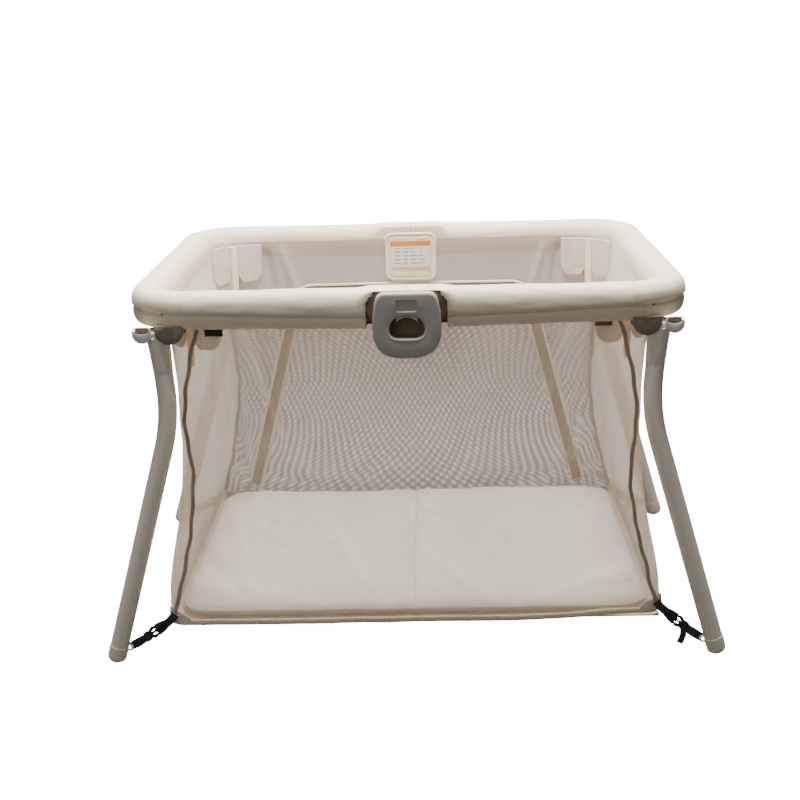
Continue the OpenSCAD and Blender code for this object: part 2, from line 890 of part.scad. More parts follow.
hub();  // hub_front
at_corner(0, 1) hub();  // hub_rear
handle_plate();  // handle_plate_front
at_corner(0, 1) handle_plate();  // handle_plate_rear
trigger();  // trigger_front
at_corner(0, 1) trigger();  // trigger_rear
trigger_spring();  // trigger_spring_front
at_corner(0, 1) trigger_spring();  // trigger_spring_rear
fold_pins();
plate_screws();
sleeve_bridges();
label_patch();
zip_slider();
wall_front();  // wall_front_left
at_corner(1, 0) wall_front();  // wall_front_right
wall_rear();  // wall_rear_left
at_corner(1, 0) wall_rear();  // wall_rear_right
wall_end();  // wall_end_left
at_corner(1, 0) wall_end();  // wall_end_right
bag_trim();  // bag_trim_left
at_corner(1, 0) bag_trim();  // bag_trim_right
bag_floor();  // bag_floor_left
at_corner(1, 0) bag_floor();  // bag_floor_right
mattress();  // mattress_left
at_corner(1, 0) mattress();  // mattress_right
bag_straps();  // bag_straps_left
at_corner(1, 0) bag_straps();  // bag_straps_right
buckle_sockets();  // buckle_sockets_left
at_corner(1, 0) buckle_sockets();  // buckle_sockets_right
rail_tube();  // rail_tube_left
at_corner(1, 0) rail_tube();  // rail_tube_right
rail_sleeve();  // rail_sleeve_left
at_corner(1, 0) rail_sleeve();  // rail_sleeve_right
rail_tongues();  // rail_tongues_left
at_corner(1, 0) rail_tongues();  // rail_tongues_right
hinge_housings();  // hinge_housings_left
at_corner(1, 0) hinge_housings();  // hinge_housings_right
leg_pins();  // leg_pins_left
at_corner(1, 0) leg_pins();  // leg_pins_right
leg_tube();  // leg_tube_fl
at_corner(0, 1) leg_tube();  // leg_tube_rl
at_corner(1, 0) leg_tube();  // leg_tube_fr
at_corner(1, 1) leg_tube();  // leg_tube_rr
leg_collar();  // leg_collar_fl
at_corner(0, 1) leg_collar();  // leg_collar_rl
at_corner(1, 0) leg_collar();  // leg_collar_fr
at_corner(1, 1) leg_collar();  // leg_collar_rr
foot_cap();  // foot_cap_fl
at_corner(0, 1) foot_cap();  // foot_cap_rl
at_corner(1, 0) foot_cap();  // foot_cap_fr
at_corner(1, 1) foot_cap();  // foot_cap_rr
release_lever();  // release_lever_fl
at_corner(0, 1) release_lever();  // release_lever_rl
at_corner(1, 0) release_lever();  // release_lever_fr
at_corner(1, 1) release_lever();  // release_lever_rr
foot_strap();  // foot_strap_fl
at_corner(0, 1) foot_strap();  // foot_strap_rl
at_corner(1, 0) foot_strap();  // foot_strap_fr
at_corner(1, 1) foot_strap();  // foot_strap_rr
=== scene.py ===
# %% [markdown]
# # A travel playpen
# The frame comes first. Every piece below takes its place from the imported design,
# so nothing is moved by hand. Lengths are in metres, +Y points to the back and +Z is up.

# %% Load the frame
import json
import math

import bmesh
import bpy
from mathutils import Matrix, Vector, noise

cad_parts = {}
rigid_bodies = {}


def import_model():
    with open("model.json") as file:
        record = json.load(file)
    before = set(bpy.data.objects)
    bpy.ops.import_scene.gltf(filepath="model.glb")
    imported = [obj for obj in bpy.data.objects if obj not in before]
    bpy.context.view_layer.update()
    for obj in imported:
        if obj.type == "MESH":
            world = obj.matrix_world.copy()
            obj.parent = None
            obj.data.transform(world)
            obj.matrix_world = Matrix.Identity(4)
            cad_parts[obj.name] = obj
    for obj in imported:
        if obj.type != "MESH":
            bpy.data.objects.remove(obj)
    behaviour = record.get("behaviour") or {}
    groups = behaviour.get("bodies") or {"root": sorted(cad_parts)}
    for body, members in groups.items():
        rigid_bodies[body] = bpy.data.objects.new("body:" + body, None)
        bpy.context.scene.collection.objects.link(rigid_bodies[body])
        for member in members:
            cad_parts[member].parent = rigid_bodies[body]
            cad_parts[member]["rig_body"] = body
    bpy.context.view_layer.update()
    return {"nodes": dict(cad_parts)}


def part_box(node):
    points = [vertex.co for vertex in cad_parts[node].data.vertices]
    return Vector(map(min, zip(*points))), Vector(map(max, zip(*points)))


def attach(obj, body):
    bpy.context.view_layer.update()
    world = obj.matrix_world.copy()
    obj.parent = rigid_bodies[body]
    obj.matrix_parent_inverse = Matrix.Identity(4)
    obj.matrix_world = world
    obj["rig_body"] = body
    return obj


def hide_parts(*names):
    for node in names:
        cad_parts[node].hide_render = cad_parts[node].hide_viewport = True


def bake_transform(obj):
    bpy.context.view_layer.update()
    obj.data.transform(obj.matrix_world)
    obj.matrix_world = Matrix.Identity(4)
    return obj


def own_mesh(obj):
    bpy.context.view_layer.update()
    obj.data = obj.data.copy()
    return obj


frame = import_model()
nodes = frame["nodes"]

# %% [markdown]
# ## Sizes
# A few places are read from the design: the padded rail, the bag under it and the floor.
# The rest of the file works its shapes out from these names.

# %% Read the driving places
rail_lo, rail_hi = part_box("rail_sleeve_left")
wall_lo, wall_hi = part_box("wall_front_left")
end_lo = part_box("wall_end_left")[0]
floor_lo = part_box("bag_floor_left")[0]
bed_lo, bed_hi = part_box("mattress_left")
patch_lo, patch_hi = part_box("label_patch")
plate_lo, plate_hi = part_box("handle_plate_front")

RAIL_X = -rail_lo.x
RAIL_Y = -rail_lo.y
RAIL_FOOT = rail_lo.z
RAIL_TOP = rail_hi.z
RAIL_MID = (RAIL_FOOT + RAIL_TOP) / 2
SLEEVE_START = -rail_hi.x
WALL_Y = -wall_lo.y
WALL_TOP = wall_hi.z
PAD_WIDTH = RAIL_Y - WALL_Y - 0.001
# The rail's outer corner, as in the design.
CORNER_RADIUS = 0.128
ARC_X = RAIL_X - CORNER_RADIUS
ARC_Y = RAIL_Y - CORNER_RADIUS
SIDE_Y = RAIL_Y - PAD_WIDTH / 2
PATH_RADIUS = CORNER_RADIUS - PAD_WIDTH / 2
print("rail", round(RAIL_X, 3), round(RAIL_Y, 3), "pad width", round(PAD_WIDTH, 4))

# %% [markdown]
# ## The stage
# The camera stands in front, a little above the rail, with a lens of normal length.
# It comes first, so that every later cell can be looked at through it.

# %% Camera, floor and soft light
CAMERA_AT = Vector((0.041, -2.677, 1.198))
CAMERA_PITCH = math.radians(16.48)
CAMERA_YAW = math.radians(1.42)
CAMERA_ROLL = math.radians(1.52)
CAMERA_LENS = 59.85
SENSOR_WIDTH = 36


def add_camera():
    """The view's own camera: turned a touch to the left and rolled a touch."""
    bpy.ops.object.camera_add(location=CAMERA_AT)
    camera = bpy.context.object
    camera.name = "view_camera"
    yaw = Matrix.Rotation(CAMERA_YAW, 4, "Z")
    pitch = Matrix.Rotation(math.pi / 2 - CAMERA_PITCH, 4, "X")
    roll = Matrix.Rotation(-CAMERA_ROLL, 4, "Z")
    camera.matrix_world = Matrix.Translation(CAMERA_AT) @ yaw @ pitch @ roll
    camera.data.sensor_width = SENSOR_WIDTH
    camera.data.lens = CAMERA_LENS
    bpy.context.scene.camera = camera


def add_light(name, place, size, power, target=Vector((0, 0, 0.45))):
    """A large soft lamp that looks at the playpen."""
    bpy.ops.object.light_add(type="AREA", location=place)
    lamp = bpy.context.object
    lamp.name = name
    lamp.data.size = size
    lamp.data.energy = power
    lamp.rotation_euler = (target - Vector(place)).to_track_quat("-Z", "Y").to_euler()


# How brightly the stage shines: seen directly, and through the holes of a net, where it is turned
# right down as painted shade.
STAGE_GLOW = 16.0
PAINTED_SHADE_THROUGH_NET = 0.16


def glowing(name, base):
    """A pale surface that shines, so it stays white; seen through the net it is turned down to
    painted shade.
    """
    paint = bpy.data.materials.new(name)
    paint.use_nodes = True
    shader = paint.node_tree.nodes["Principled BSDF"]
    shader.inputs["Base Color"].default_value = (base, base, base, 1)
    shader.inputs["Roughness"].default_value = 0.9
    shader.inputs["Emission Color"].default_value = (1, 1, 1, 1)
    shader.inputs["Emission Strength"].default_value = STAGE_GLOW
    path = paint.node_tree.nodes.new("ShaderNodeLightPath")
    clear = paint.node_tree.nodes.new("ShaderNodeMath")
    clear.operation = "LESS_THAN"
    clear.inputs[1].default_value = 0.5
    dim = paint.node_tree.nodes.new("ShaderNodeMapRange")
    dim.inputs["To Min"].default_value = PAINTED_SHADE_THROUGH_NET
    dim.inputs["To Max"].default_value = STAGE_GLOW
    paint.node_tree.links.new(path.outputs["Transparent Depth"], clear.inputs[0])
    paint.node_tree.links.new(clear.outputs[0], dim.inputs["Value"])
    paint.node_tree.links.new(dim.outputs[0], shader.inputs["Emission Strength"])
    return paint


def only_seen(piece):
    """The piece is seen, but throws no light back on the playpen."""
    for way in ("visible_diffuse", "visible_glossy", "visible_transmission", "visible_shadow"):
        setattr(piece, way, False)


def add_floor():
    """A plain pale floor, wide enough to fill the view from any side."""
    bpy.ops.mesh.primitive_plane_add(size=40)
    floor = bpy.context.object
    floor.name = "stage_floor"
    floor.data.materials.append(glowing("stage_pale", 0.8))
    only_seen(floor)


def add_surround():
    """A white dome behind everything."""
    bpy.ops.mesh.primitive_uv_sphere_add(segments=32, ring_count=16, radius=18)
    dome = bpy.context.object
    dome.name = "stage_dome"
    dome.data.materials.append(glowing("stage_white", 0.0))
    only_seen(dome)


def add_sky(strength):
    """An even white surround that lights the shadows."""
    world = bpy.data.worlds.new("soft_surround")
    bpy.context.scene.world = world
    world.use_nodes = True
    backdrop = world.node_tree.nodes["Background"]
    backdrop.inputs["Color"].default_value = (1, 1, 1, 1)
    backdrop.inputs["Strength"].default_value = strength


add_camera()
add_floor()
add_surround()
add_sky(0.14)
add_light("lamp_overhead", (0.0, 0.0, 2.9), 1.5, 290)
add_light("lamp_front", (-1.2, -2.8, 1.9), 1.6, 11)
print("camera, floor, dome and two lamps")

# %% [markdown]
# ## Shader maths
# A material here is written as plain arithmetic. `Value` wraps one output in a node tree,
# and each sign adds a Math node. `Finish` starts a material and adds any other node.

# %% The value class
class Value:
    """One number in a node tree; + - * / make Math nodes."""

    def __init__(self, finish, socket):
        self.finish = finish
        self.socket = socket

    def _with(self, operation, *others):
        return self.finish.maths(operation, self, *others)

    def __add__(self, other):
        return self._with("ADD", other)

    def __sub__(self, other):
        return self._with("SUBTRACT", other)

    def __mul__(self, other):
        return self._with("MULTIPLY", other)

    def __truediv__(self, other):
        return self._with("DIVIDE", other)

    def __rsub__(self, other):
        return self.finish.maths("SUBTRACT", other, self)

    def __lt__(self, other):
        return self._with("LESS_THAN", other)

    def __gt__(self, other):
        return self._with("GREATER_THAN", other)

    __radd__ = __add__
    __rmul__ = __mul__

    def wave(self, period):
        """From 0 to 1 and back once in each period."""
        return (self._with("MULTIPLY", 2 * math.pi / period)._with("SINE") + 1) * 0.5

    def saw(self, period):
        """From 0 to 1 in each period."""
        return (self / period)._with("FRACT")

    def ramp(self, low, high):
        """0 at low, 1 at high, smooth between."""
        return self.finish.node(
            "ShaderNodeMapRange", {"interpolation_type": "SMOOTHSTEP"},
            Value=self, **{"From Min": low, "From Max": high},
        )

    def smallest(self, other):
        return self._with("MINIMUM", other)

    def size(self):
        return self._with("ABSOLUTE")


class Finish:
    """A material in the making."""

    def __init__(self, name, colour, roughness, **constants):
        self.material = bpy.data.materials.new(name)
        self.material.use_nodes = True
        self.tree = self.material.node_tree
        self.shader = self.tree.nodes["Principled BSDF"]
        self.shader.inputs["Base Color"].default_value = (*colour, 1)
        self.shader.inputs["Roughness"].default_value = roughness
        for socket, value in constants.items():
            self.shader.inputs[socket.replace("_", " ")].default_value = value

    def node(self, kind, settings=None, output=0, **inputs):
        """Any node: its settings first, then the values or links of its sockets."""
        made = self.tree.nodes.new(kind)
        for name, value in (settings or {}).items():
            if name == "stops":
                set_stops(made.color_ramp, value)
            else:
                setattr(made, name, value)
        for name, value in inputs.items():
            key = int(name[1:]) if name[0] == "_" else name
            self.feed(made.inputs[key], value)
        return Value(self, made.outputs[output])

    def feed(self, socket, value):
        if isinstance(value, Value):
            self.tree.links.new(value.socket, socket)
        else:
            socket.default_value = value

    def maths(self, operation, *values):
        return self.node("ShaderNodeMath", {"operation": operation},
                         **{f"_{i}": v for i, v in enumerate(values)})

    def place(self, x=1.0, y=1.0, z=1.0):
        """The point in the object's own frame, scaled."""
        at = self.node("ShaderNodeTexCoord", output=3)
        return self.node("ShaderNodeMapping", Vector=at, Scale=(x, y, z))

    def cloth_place(self):
        """The place on a sheet, in metres along its two threads."""
        return self.node("ShaderNodeUVMap", {"uv_map": "threads"})

    def parts(self, point):
        """The three numbers of a point."""
        split = self.tree.nodes.new("ShaderNodeSeparateXYZ")
        self.feed(split.inputs[0], point)
        return [Value(self, out) for out in split.outputs]

    def noise(self, point, scale, detail=3.0, rough=0.5):
        return self.node("ShaderNodeTexNoise", Vector=point, Scale=scale,
                         Detail=detail, Roughness=rough)

    def mix(self, share, first, second):
        """Mixes two colours."""
        return self.node("ShaderNodeMix", {"data_type": "RGBA"}, output=2,
                         _0=share, _6=first, _7=second)

    def bump(self, height, distance, strength=1.0, under=None):
        inputs = {"Height": height, "Distance": distance, "Strength": strength}
        if under is not None:
            inputs["Normal"] = under
        return self.node("ShaderNodeBump", **inputs)

    def use(self, **links):
        """Links values to the shader's own sockets."""
        for name, value in links.items():
            self.feed(self.shader.inputs[name.replace("_", " ")], value)
        return self.material


def set_stops(ramp, stops):
    """Places the stops of a colour ramp."""
    while len(ramp.elements) < len(stops):
        ramp.elements.new(0.5)
    for element, (at, colour) in zip(ramp.elements, stops):
        element.position = at
        element.color = colour


def rgba(colour, share=1.0):
    """A colour with its alpha, made lighter or darker by a share."""
    return (*[min(1.0, c * share) for c in colour], 1.0)


print("shader maths ready")

# %% [markdown]
# ## Cloth finishes
# The rail cover is a fine knit with a soft bloom, so its bump is a small stitch pattern over
# a slow change of tone. The walls are a net: thin threads cross on the slant, and alpha opens
# the holes between them. Both follow the cloth, so they read the piece's own thread map.

# %% The cloth materials
CREAM = (0.86, 0.72, 0.53)
SAND = (0.84, 0.69, 0.53)
TAUPE = (0.43, 0.345, 0.265)


def knit_cloth(name, colour, stitch=0.0016, depth=0.00022, tone=0.05):
    """A close knit: offset rows of small stitches."""
    finish = Finish(name, colour, 0.88, Sheen_Weight=0.25, Sheen_Roughness=0.5)
    u, v, _ = finish.parts(finish.cloth_place())
    rows = v.wave(stitch)
    stitches = (u + v * 0.5).wave(stitch) * (u - v * 0.5).wave(stitch)
    cloud = finish.noise(finish.place(), 9.0, 4.0)
    fine = finish.noise(finish.place(), 900.0, 2.0)
    shade = (cloud.ramp(0.3, 0.7) * 0.6 + stitches * 0.25 + fine * 0.25)
    tint = finish.mix(shade, rgba(colour, 1 - tone), rgba(colour, 1 + tone))
    height = rows * 0.4 + stitches * 0.6 + fine * 0.5
    return finish.use(Base_Color=tint, Normal=finish.bump(height, depth, 0.6),
                      Roughness=fine * 0.1 + 0.82)


def net_cloth(name, colour, hole=0.0030, thread=0.235):
    """A see-through net of threads on two slants."""
    finish = Finish(name, colour, 0.8, Sheen_Weight=0.15, Sheen_Roughness=0.5)
    u, v, _ = finish.parts(finish.cloth_place())
    first = ((u + v * 0.62).saw(hole) - 0.5).size()
    second = ((u - v * 0.62).saw(hole) - 0.5).size()
    solid = first.smallest(second) < thread
    cloud = finish.noise(finish.place(), 7.0, 3.0)
    tint = finish.mix(cloud, rgba(colour, 0.93), rgba(colour, 1.07))
    height = 1 - first.smallest(second)
    return finish.use(Base_Color=tint, Alpha=solid, Normal=finish.bump(height, 0.0005, 0.6))


def woven_cloth(name, colour, thread=0.0009, depth=0.0002, tone=0.04, roughness=0.85):
    """A plain weave: over and under in both directions."""
    finish = Finish(name, colour, roughness, Sheen_Weight=0.15, Sheen_Roughness=0.5)
    u, v, _ = finish.parts(finish.cloth_place())
    weave = u.wave(thread) * v.wave(thread) + (1 - u.wave(thread)) * (1 - v.wave(thread))
    cloud = finish.noise(finish.place(), 14.0, 4.0)
    shade = cloud.ramp(0.3, 0.7) * 0.7 + weave * 0.3
    tint = finish.mix(shade, rgba(colour, 1 - tone), rgba(colour, 1 + tone))
    return finish.use(Base_Color=tint, Normal=finish.bump(weave + cloud * 0.6, depth, 0.7))


def suede_cloth(name, colour):
    """A brushed facing with a mottled nap."""
    finish = Finish(name, colour, 0.95, Sheen_Weight=0.4, Sheen_Roughness=0.6)
    cloud = finish.noise(finish.place(), 45.0, 5.0, 0.65)
    nap = finish.noise(finish.place(), 1400.0, 2.0)
    tint = finish.mix(cloud.ramp(0.35, 0.65), rgba(colour, 0.92), rgba(colour, 1.08))
    return finish.use(Base_Color=tint, Normal=finish.bump(nap + cloud, 0.0003, 0.6))


def ribbed_webbing(name, colour):
    """Woven strap: ribs across, with a flat edge."""
    finish = Finish(name, colour, 0.7, Sheen_Weight=0.3)
    u, v, _ = finish.parts(finish.cloth_place())
    ribs = u.wave(0.0022)
    chevron = (v + (u.wave(0.0044) * 0.0008)).wave(0.0034)
    tint = finish.mix(ribs * chevron, rgba(colour, 0.6), rgba(colour, 1.6))
    return finish.use(Base_Color=tint, Normal=finish.bump(ribs * 0.7 + chevron * 0.5, 0.0005, 0.8))


rail_knit = knit_cloth("rail_knit_cream", CREAM)
bag_net = net_cloth("bag_net_beige", SAND)
# The rear halves of the long walls are the same net, painted darker as painted shade, with
# slightly thicker threads.
far_net_painted_shade = net_cloth("bag_net_far_painted_shade", (0.43, 0.355, 0.30), thread=0.26)
hem_cloth = woven_cloth("hem_cloth_cream", CREAM)
bed_cloth = woven_cloth("bed_cloth_cream", (0.90, 0.81, 0.69), 0.0012)
tape_cloth = woven_cloth("binding_taupe", TAUPE, 0.0012)
zip_cloth = woven_cloth("zip_cloth_taupe", (0.24, 0.195, 0.155), 0.0012)
suede = suede_cloth("corner_suede", (0.60, 0.52, 0.44))
black_webbing = ribbed_webbing("webbing_black", (0.016, 0.016, 0.018))
print("cloth finishes:", rail_knit.name, bag_net.name, hem_cloth.name, suede.name)

# %% [markdown]
# ## Hard finishes
# Moulded plastic is never quite smooth: a fine spark texture breaks up its gloss. The legs are
# powder coated, which leaves a soft orange-peel, and the hidden tube is plated steel.

# %% The plastic, paint and metal materials
def moulded(name, colour, roughness=0.45, grain=0.00006, gloss=0.4):
    """Moulded plastic with a fine spark texture."""
    finish = Finish(name, colour, roughness, Specular_IOR_Level=gloss)
    at = finish.place()
    spark = finish.noise(at, 1600.0, 2.0)
    cloud = finish.noise(at, 18.0, 3.0)
    tint = finish.mix(cloud, rgba(colour, 0.95), rgba(colour, 1.05))
    return finish.use(Base_Color=tint, Roughness=spark * 0.16 + (roughness - 0.08),
                      Normal=finish.bump(spark, grain, 0.5))


def powder_coat(name, colour, roughness=0.5):
    """Baked powder paint with a slight orange-peel."""
    finish = Finish(name, colour, roughness, Specular_IOR_Level=0.45)
    at = finish.place()
    peel = finish.noise(at, 420.0, 2.0)
    cloud = finish.noise(at, 10.0, 3.0)
    tint = finish.mix(cloud, rgba(colour, 0.95), rgba(colour, 1.05))
    return finish.use(Base_Color=tint, Roughness=peel * 0.12 + (roughness - 0.06),
                      Normal=finish.bump(peel, 0.00012, 0.5))


def plated_steel(name):
    """Zinc-plated steel with faint streaks."""
    colour = (0.55, 0.55, 0.54)
    finish = Finish(name, colour, 0.35, Metallic=1.0)
    streak = finish.noise(finish.place(1.0, 1.0, 14.0), 160.0, 3.0)
    tint = finish.mix(streak, rgba(colour, 0.85), rgba(colour, 1.1))
    return finish.use(Base_Color=tint, Roughness=streak * 0.2 + 0.25)


leg_paint = powder_coat("leg_powder_coat", (0.83, 0.75, 0.60))
collar_plastic = moulded("collar_plastic_taupe", (0.80, 0.72, 0.58), 0.5)
disc_plastic = moulded("hinge_plastic_brown", (0.20, 0.165, 0.115), 0.5)
hub_plastic = moulded("hub_plastic_brown", (0.20, 0.135, 0.075), 0.45)
plate_plastic = moulded("plate_plastic_grey", (0.40, 0.375, 0.315), 0.42)
lever_plastic = moulded("lever_plastic_pale", (0.70, 0.65, 0.55), 0.42)
black_plastic = moulded("buckle_plastic_black", (0.014, 0.014, 0.015), 0.4)
steel = plated_steel("plated_steel")
print("hard finishes:", leg_paint.name, hub_plastic.name, steel.name)

# %% [markdown]
# ## Two helpers for making pieces
# Soft pieces start as a flat grid, as cloth does. A rule then says where each point of the
# cloth hangs, and a thread map keeps the cloth's own lengths for the weave. Hard pieces that
# already have the right form are copied from the design, cleaned and given a small round edge.

# %% Grid and copy helpers
def deselect():
    bpy.ops.object.select_all(action="DESELECT")


def make_active(piece):
    deselect()
    piece.select_set(True)
    bpy.context.view_layer.objects.active = piece


def finish_modifiers(piece):
    """Applies every modifier of a piece, in order."""
    make_active(piece)
    for modifier in list(piece.modifiers):
        bpy.ops.object.modifier_apply(modifier=modifier.name)


def side_name(side):
    """The left half is side 1 and the right half is side -1."""
    return "left" if side > 0 else "right"


def cloth_grid(name, across, along, rule, size, material,
               thickness=0.0, close=False, wrap=1e-6):
    """A grid of cloth. rule(u, v) gives a point for u and v from 0 to 1."""
    bpy.ops.mesh.primitive_grid_add(x_subdivisions=across, y_subdivisions=along,
                                    size=2, calc_uvs=True)
    piece = bpy.context.object
    piece.name = name
    mesh = piece.data
    mesh.name = name
    threads = mesh.uv_layers.active
    threads.name = "threads"
    for loop in mesh.loops:
        u, v = [(c + 1) / 2 for c in mesh.vertices[loop.vertex_index].co.xy]
        threads.data[loop.index].uv = (u * size[0], v * size[1])
    for vertex in mesh.vertices:
        vertex.co = rule((vertex.co.x + 1) / 2, (vertex.co.y + 1) / 2)
    if close:
        weld(piece, wrap)
    mesh.materials.append(material)
    for face in mesh.polygons:
        face.use_smooth = True
    if thickness:
        shell = piece.modifiers.new("thickness", "SOLIDIFY")
        shell.thickness = thickness
        shell.offset = 0
        finish_modifiers(piece)
    return piece


def edit_all(piece):
    """Opens a piece in edit mode with all of it selected."""
    make_active(piece)
    bpy.ops.object.mode_set(mode="EDIT")
    bpy.ops.mesh.select_all(action="SELECT")


def weld(piece, distance=1e-6):
    """Merges points that lie together, then turns all faces outwards."""
    edit_all(piece)
    bpy.ops.mesh.remove_doubles(threshold=distance)
    bpy.ops.mesh.normals_make_consistent(inside=False)
    bpy.ops.object.mode_set(mode="OBJECT")


def close_holes(piece):
    """Closes the open edges of a piece and turns its faces outwards."""
    edit_all(piece)
    bpy.ops.mesh.fill_holes(sides=0)
    bpy.ops.mesh.select_all(action="SELECT")
    bpy.ops.mesh.normals_make_consistent(inside=False)
    bpy.ops.object.mode_set(mode="OBJECT")


def join(pieces, name):
    """Makes one object of several."""
    deselect()
    for piece in pieces:
        piece.select_set(True)
    bpy.context.view_layer.objects.active = pieces[0]
    bpy.ops.object.join()
    pieces[0].name = name
    return pieces[0]


def shade_hard(piece):
    """Smooth shading that keeps the sharp edges."""
    make_active(piece)
    bpy.ops.object.shade_smooth_by_angle(angle=math.radians(35))


def body_of_node(node):
    return nodes[node]["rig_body"]


def rounded_copy(node, material, edge=0.0008, segments=2, angle=40):
    """A copy of a design piece with clean faces and a small round on its edges."""
    deselect()
    piece = bpy.data.objects.new(node + "_finished", nodes[node].data.copy())
    bpy.context.scene.collection.objects.link(piece)
    edit_all(piece)
    bpy.ops.mesh.remove_doubles(threshold=1e-6)
    bpy.ops.mesh.dissolve_limited(angle_limit=math.radians(0.5))
    bpy.ops.object.mode_set(mode="OBJECT")
    piece.data.materials.clear()
    piece.data.materials.append(material)
    if edge:
        bevel = piece.modifiers.new("edge", "BEVEL")
        bevel.width = edge
        bevel.segments = segments
        bevel.limit_method = "ANGLE"
        bevel.angle_limit = math.radians(angle)
        finish_modifiers(piece)
    shade_hard(piece)
    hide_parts(node)
    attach(piece, body_of_node(node))
    return piece


def repaint(node, material):
    """Gives a design piece its finish."""
    mesh = nodes[node].data
    mesh.materials.clear()
    mesh.materials.append(material)


def smooth_step(value, low, high):
    share = min(1.0, max(0.0, (value - low) / (high - low)))
    return share * share * (3 - 2 * share)


def blend_between(a, b, share):
    return a + (b - a) * share


def rounded_square(u, v, half_x, half_y, corner):
    """A point of a rounded rectangle, from two shares between -1 and 1."""
    x, y = half_x * u, half_y * v
    dx, dy = abs(x) - (half_x - corner), abs(y) - (half_y - corner)
    if dx > 0 and dy > 0:
        reach, length = max(dx, dy), math.hypot(dx, dy)
        x = math.copysign(half_x - corner + dx / length * reach, x)
        y = math.copysign(half_y - corner + dy / length * reach, y)
    return x, y


def half_loop(s, arc_x, arc_y, radius):
    """Point and outward way on the left half of a rounded rectangle, from its front middle."""
    turn = radius * math.pi / 2
    if s < arc_x:
        return Vector((-s, -arc_y - radius, 0)), Vector((0, -1, 0))
    s -= arc_x
    if s < turn:
        out = Vector((-math.sin(s / radius), -math.cos(s / radius), 0))
        return Vector((-arc_x, -arc_y, 0)) + out * radius, out
    s -= turn
    if s < 2 * arc_y:
        return Vector((-arc_x - radius, -arc_y + s, 0)), Vector((-1, 0, 0))
    s -= 2 * arc_y
    if s < turn:
        out = Vector((-math.cos(s / radius), math.sin(s / radius), 0))
        return Vector((-arc_x, arc_y, 0)) + out * radius, out
    return Vector((-arc_x + s - turn, arc_y + radius, 0)), Vector((0, 1, 0))


print("helpers ready")

# %% [markdown]
# ## The padded rail
# The rail is a foam tube in a knit cover. Its section has a full upper pad and a flatter
# skirt below, with a seam between them that climbs towards each corner. It is laid out as a
# strip along the rail's path. Over the hub the cover goes on across the top and the inner
# side, and its outer face is cut away for the handle.

# %% The rail's path and section
RING_STEP = 0.0045
AROUND = 124
STRAIGHT = ARC_X
TURN = PATH_RADIUS * math.pi / 2
END = 2 * ARC_Y
HALF_LENGTH = 2 * STRAIGHT + 2 * TURN + END
DART_SPOTS = (STRAIGHT + TURN * 0.12, STRAIGHT + TURN * 0.95)
DART_DEPTH = 0.0016
DART_WIDTH = 0.0022


def rail_path(s):
    """Point and outward way on the left half's path, from the front middle to the back."""
    return half_loop(s, ARC_X, ARC_Y, PATH_RADIUS)


def seam_height(from_hub):
    """The seam climbs from the hub to the corner."""
    return RAIL_FOOT + 0.019 + 0.010 * smooth_step(from_hub, 0.07, 0.50)


def rail_section(turn, from_hub):
    """Offset outwards and height of the cover; turn runs once round from the inner foot."""
    hubness = 1 - smooth_step(from_hub, 0.062, 0.092)
    endness = smooth_step(from_hub, 0.30, 0.46)
    half_width = PAD_WIDTH / 2
    half_depth = (RAIL_TOP - RAIL_FOOT) / 2
    angle = -math.pi / 2 - 2 * math.pi * turn
    power = blend_between(0.66 if math.sin(angle) > 0 else 0.26, 0.15, hubness)
    across = math.copysign(abs(math.cos(angle)) ** power, math.cos(angle)) * half_width
    rise = blend_between(0.9, 0.15, hubness)
    up = math.copysign(abs(math.sin(angle)) ** rise, math.sin(angle)) * half_depth
    height = RAIL_MID + up
    seam = seam_height(from_hub)
    if across > 0:
        below = smooth_step(seam - height, -0.0010, 0.0010)
        across -= blend_between(0.0042, 0.0010, endness) * below
        across -= 0.0046 * math.exp(-((height - seam) / 0.0036) ** 2)
        across -= 0.0016 * math.exp(-((height - seam) / 0.0014) ** 2)
    sag = 0.005 * (1 - smooth_step(from_hub, 0.10, 0.42)) * smooth_step(from_hub, 0.0, 0.07)
    if up < 0:
        height -= sag * smooth_step(-up, 0.0, half_depth)
    return across, height


def rail_rule(s, turn):
    """Where one point of the cover lies, with small puckers and corner darts."""
    point, out = rail_path(s)
    from_hub = min(s, HALF_LENGTH - s)
    across, height = rail_section(turn, from_hub)
    calm = smooth_step(from_hub, 0.085, 0.14)
    sample = Vector((s * 9.0, across * 30.0, height * 26.0))
    ripple = noise.noise(sample) * 0.0013 + noise.noise(sample * 2.7) * 0.0005
    lift = ripple * calm
    upper = smooth_step(height, RAIL_MID - 0.03, RAIL_MID)
    for spot in DART_SPOTS + tuple(HALF_LENGTH - d for d in DART_SPOTS):
        slant = (height - RAIL_MID) * 0.15
        lift -= DART_DEPTH * math.exp(-((s - spot - slant) / DART_WIDTH) ** 2) * upper
    away = Vector((across, 0, height - RAIL_MID)).normalized()
    point = point + out * (across + away.x * lift)
    point.z = height + away.z * lift
    return point


print("rail path", round(HALF_LENGTH, 3), "m for each half")

# %% Make the two halves of the cover
WINDOW = SLEEVE_START - 0.002


def window_edge(height):
    """How far from the middle the cover is cut, at each height."""
    return WINDOW - 0.012 * smooth_step(height, RAIL_MID + 0.010, RAIL_TOP - 0.004)


def ring_places():
    """Places of the rings, evenly spaced along the cover."""
    count = int(HALF_LENGTH / RING_STEP)
    return [HALF_LENGTH * i / count for i in range(count + 1)]


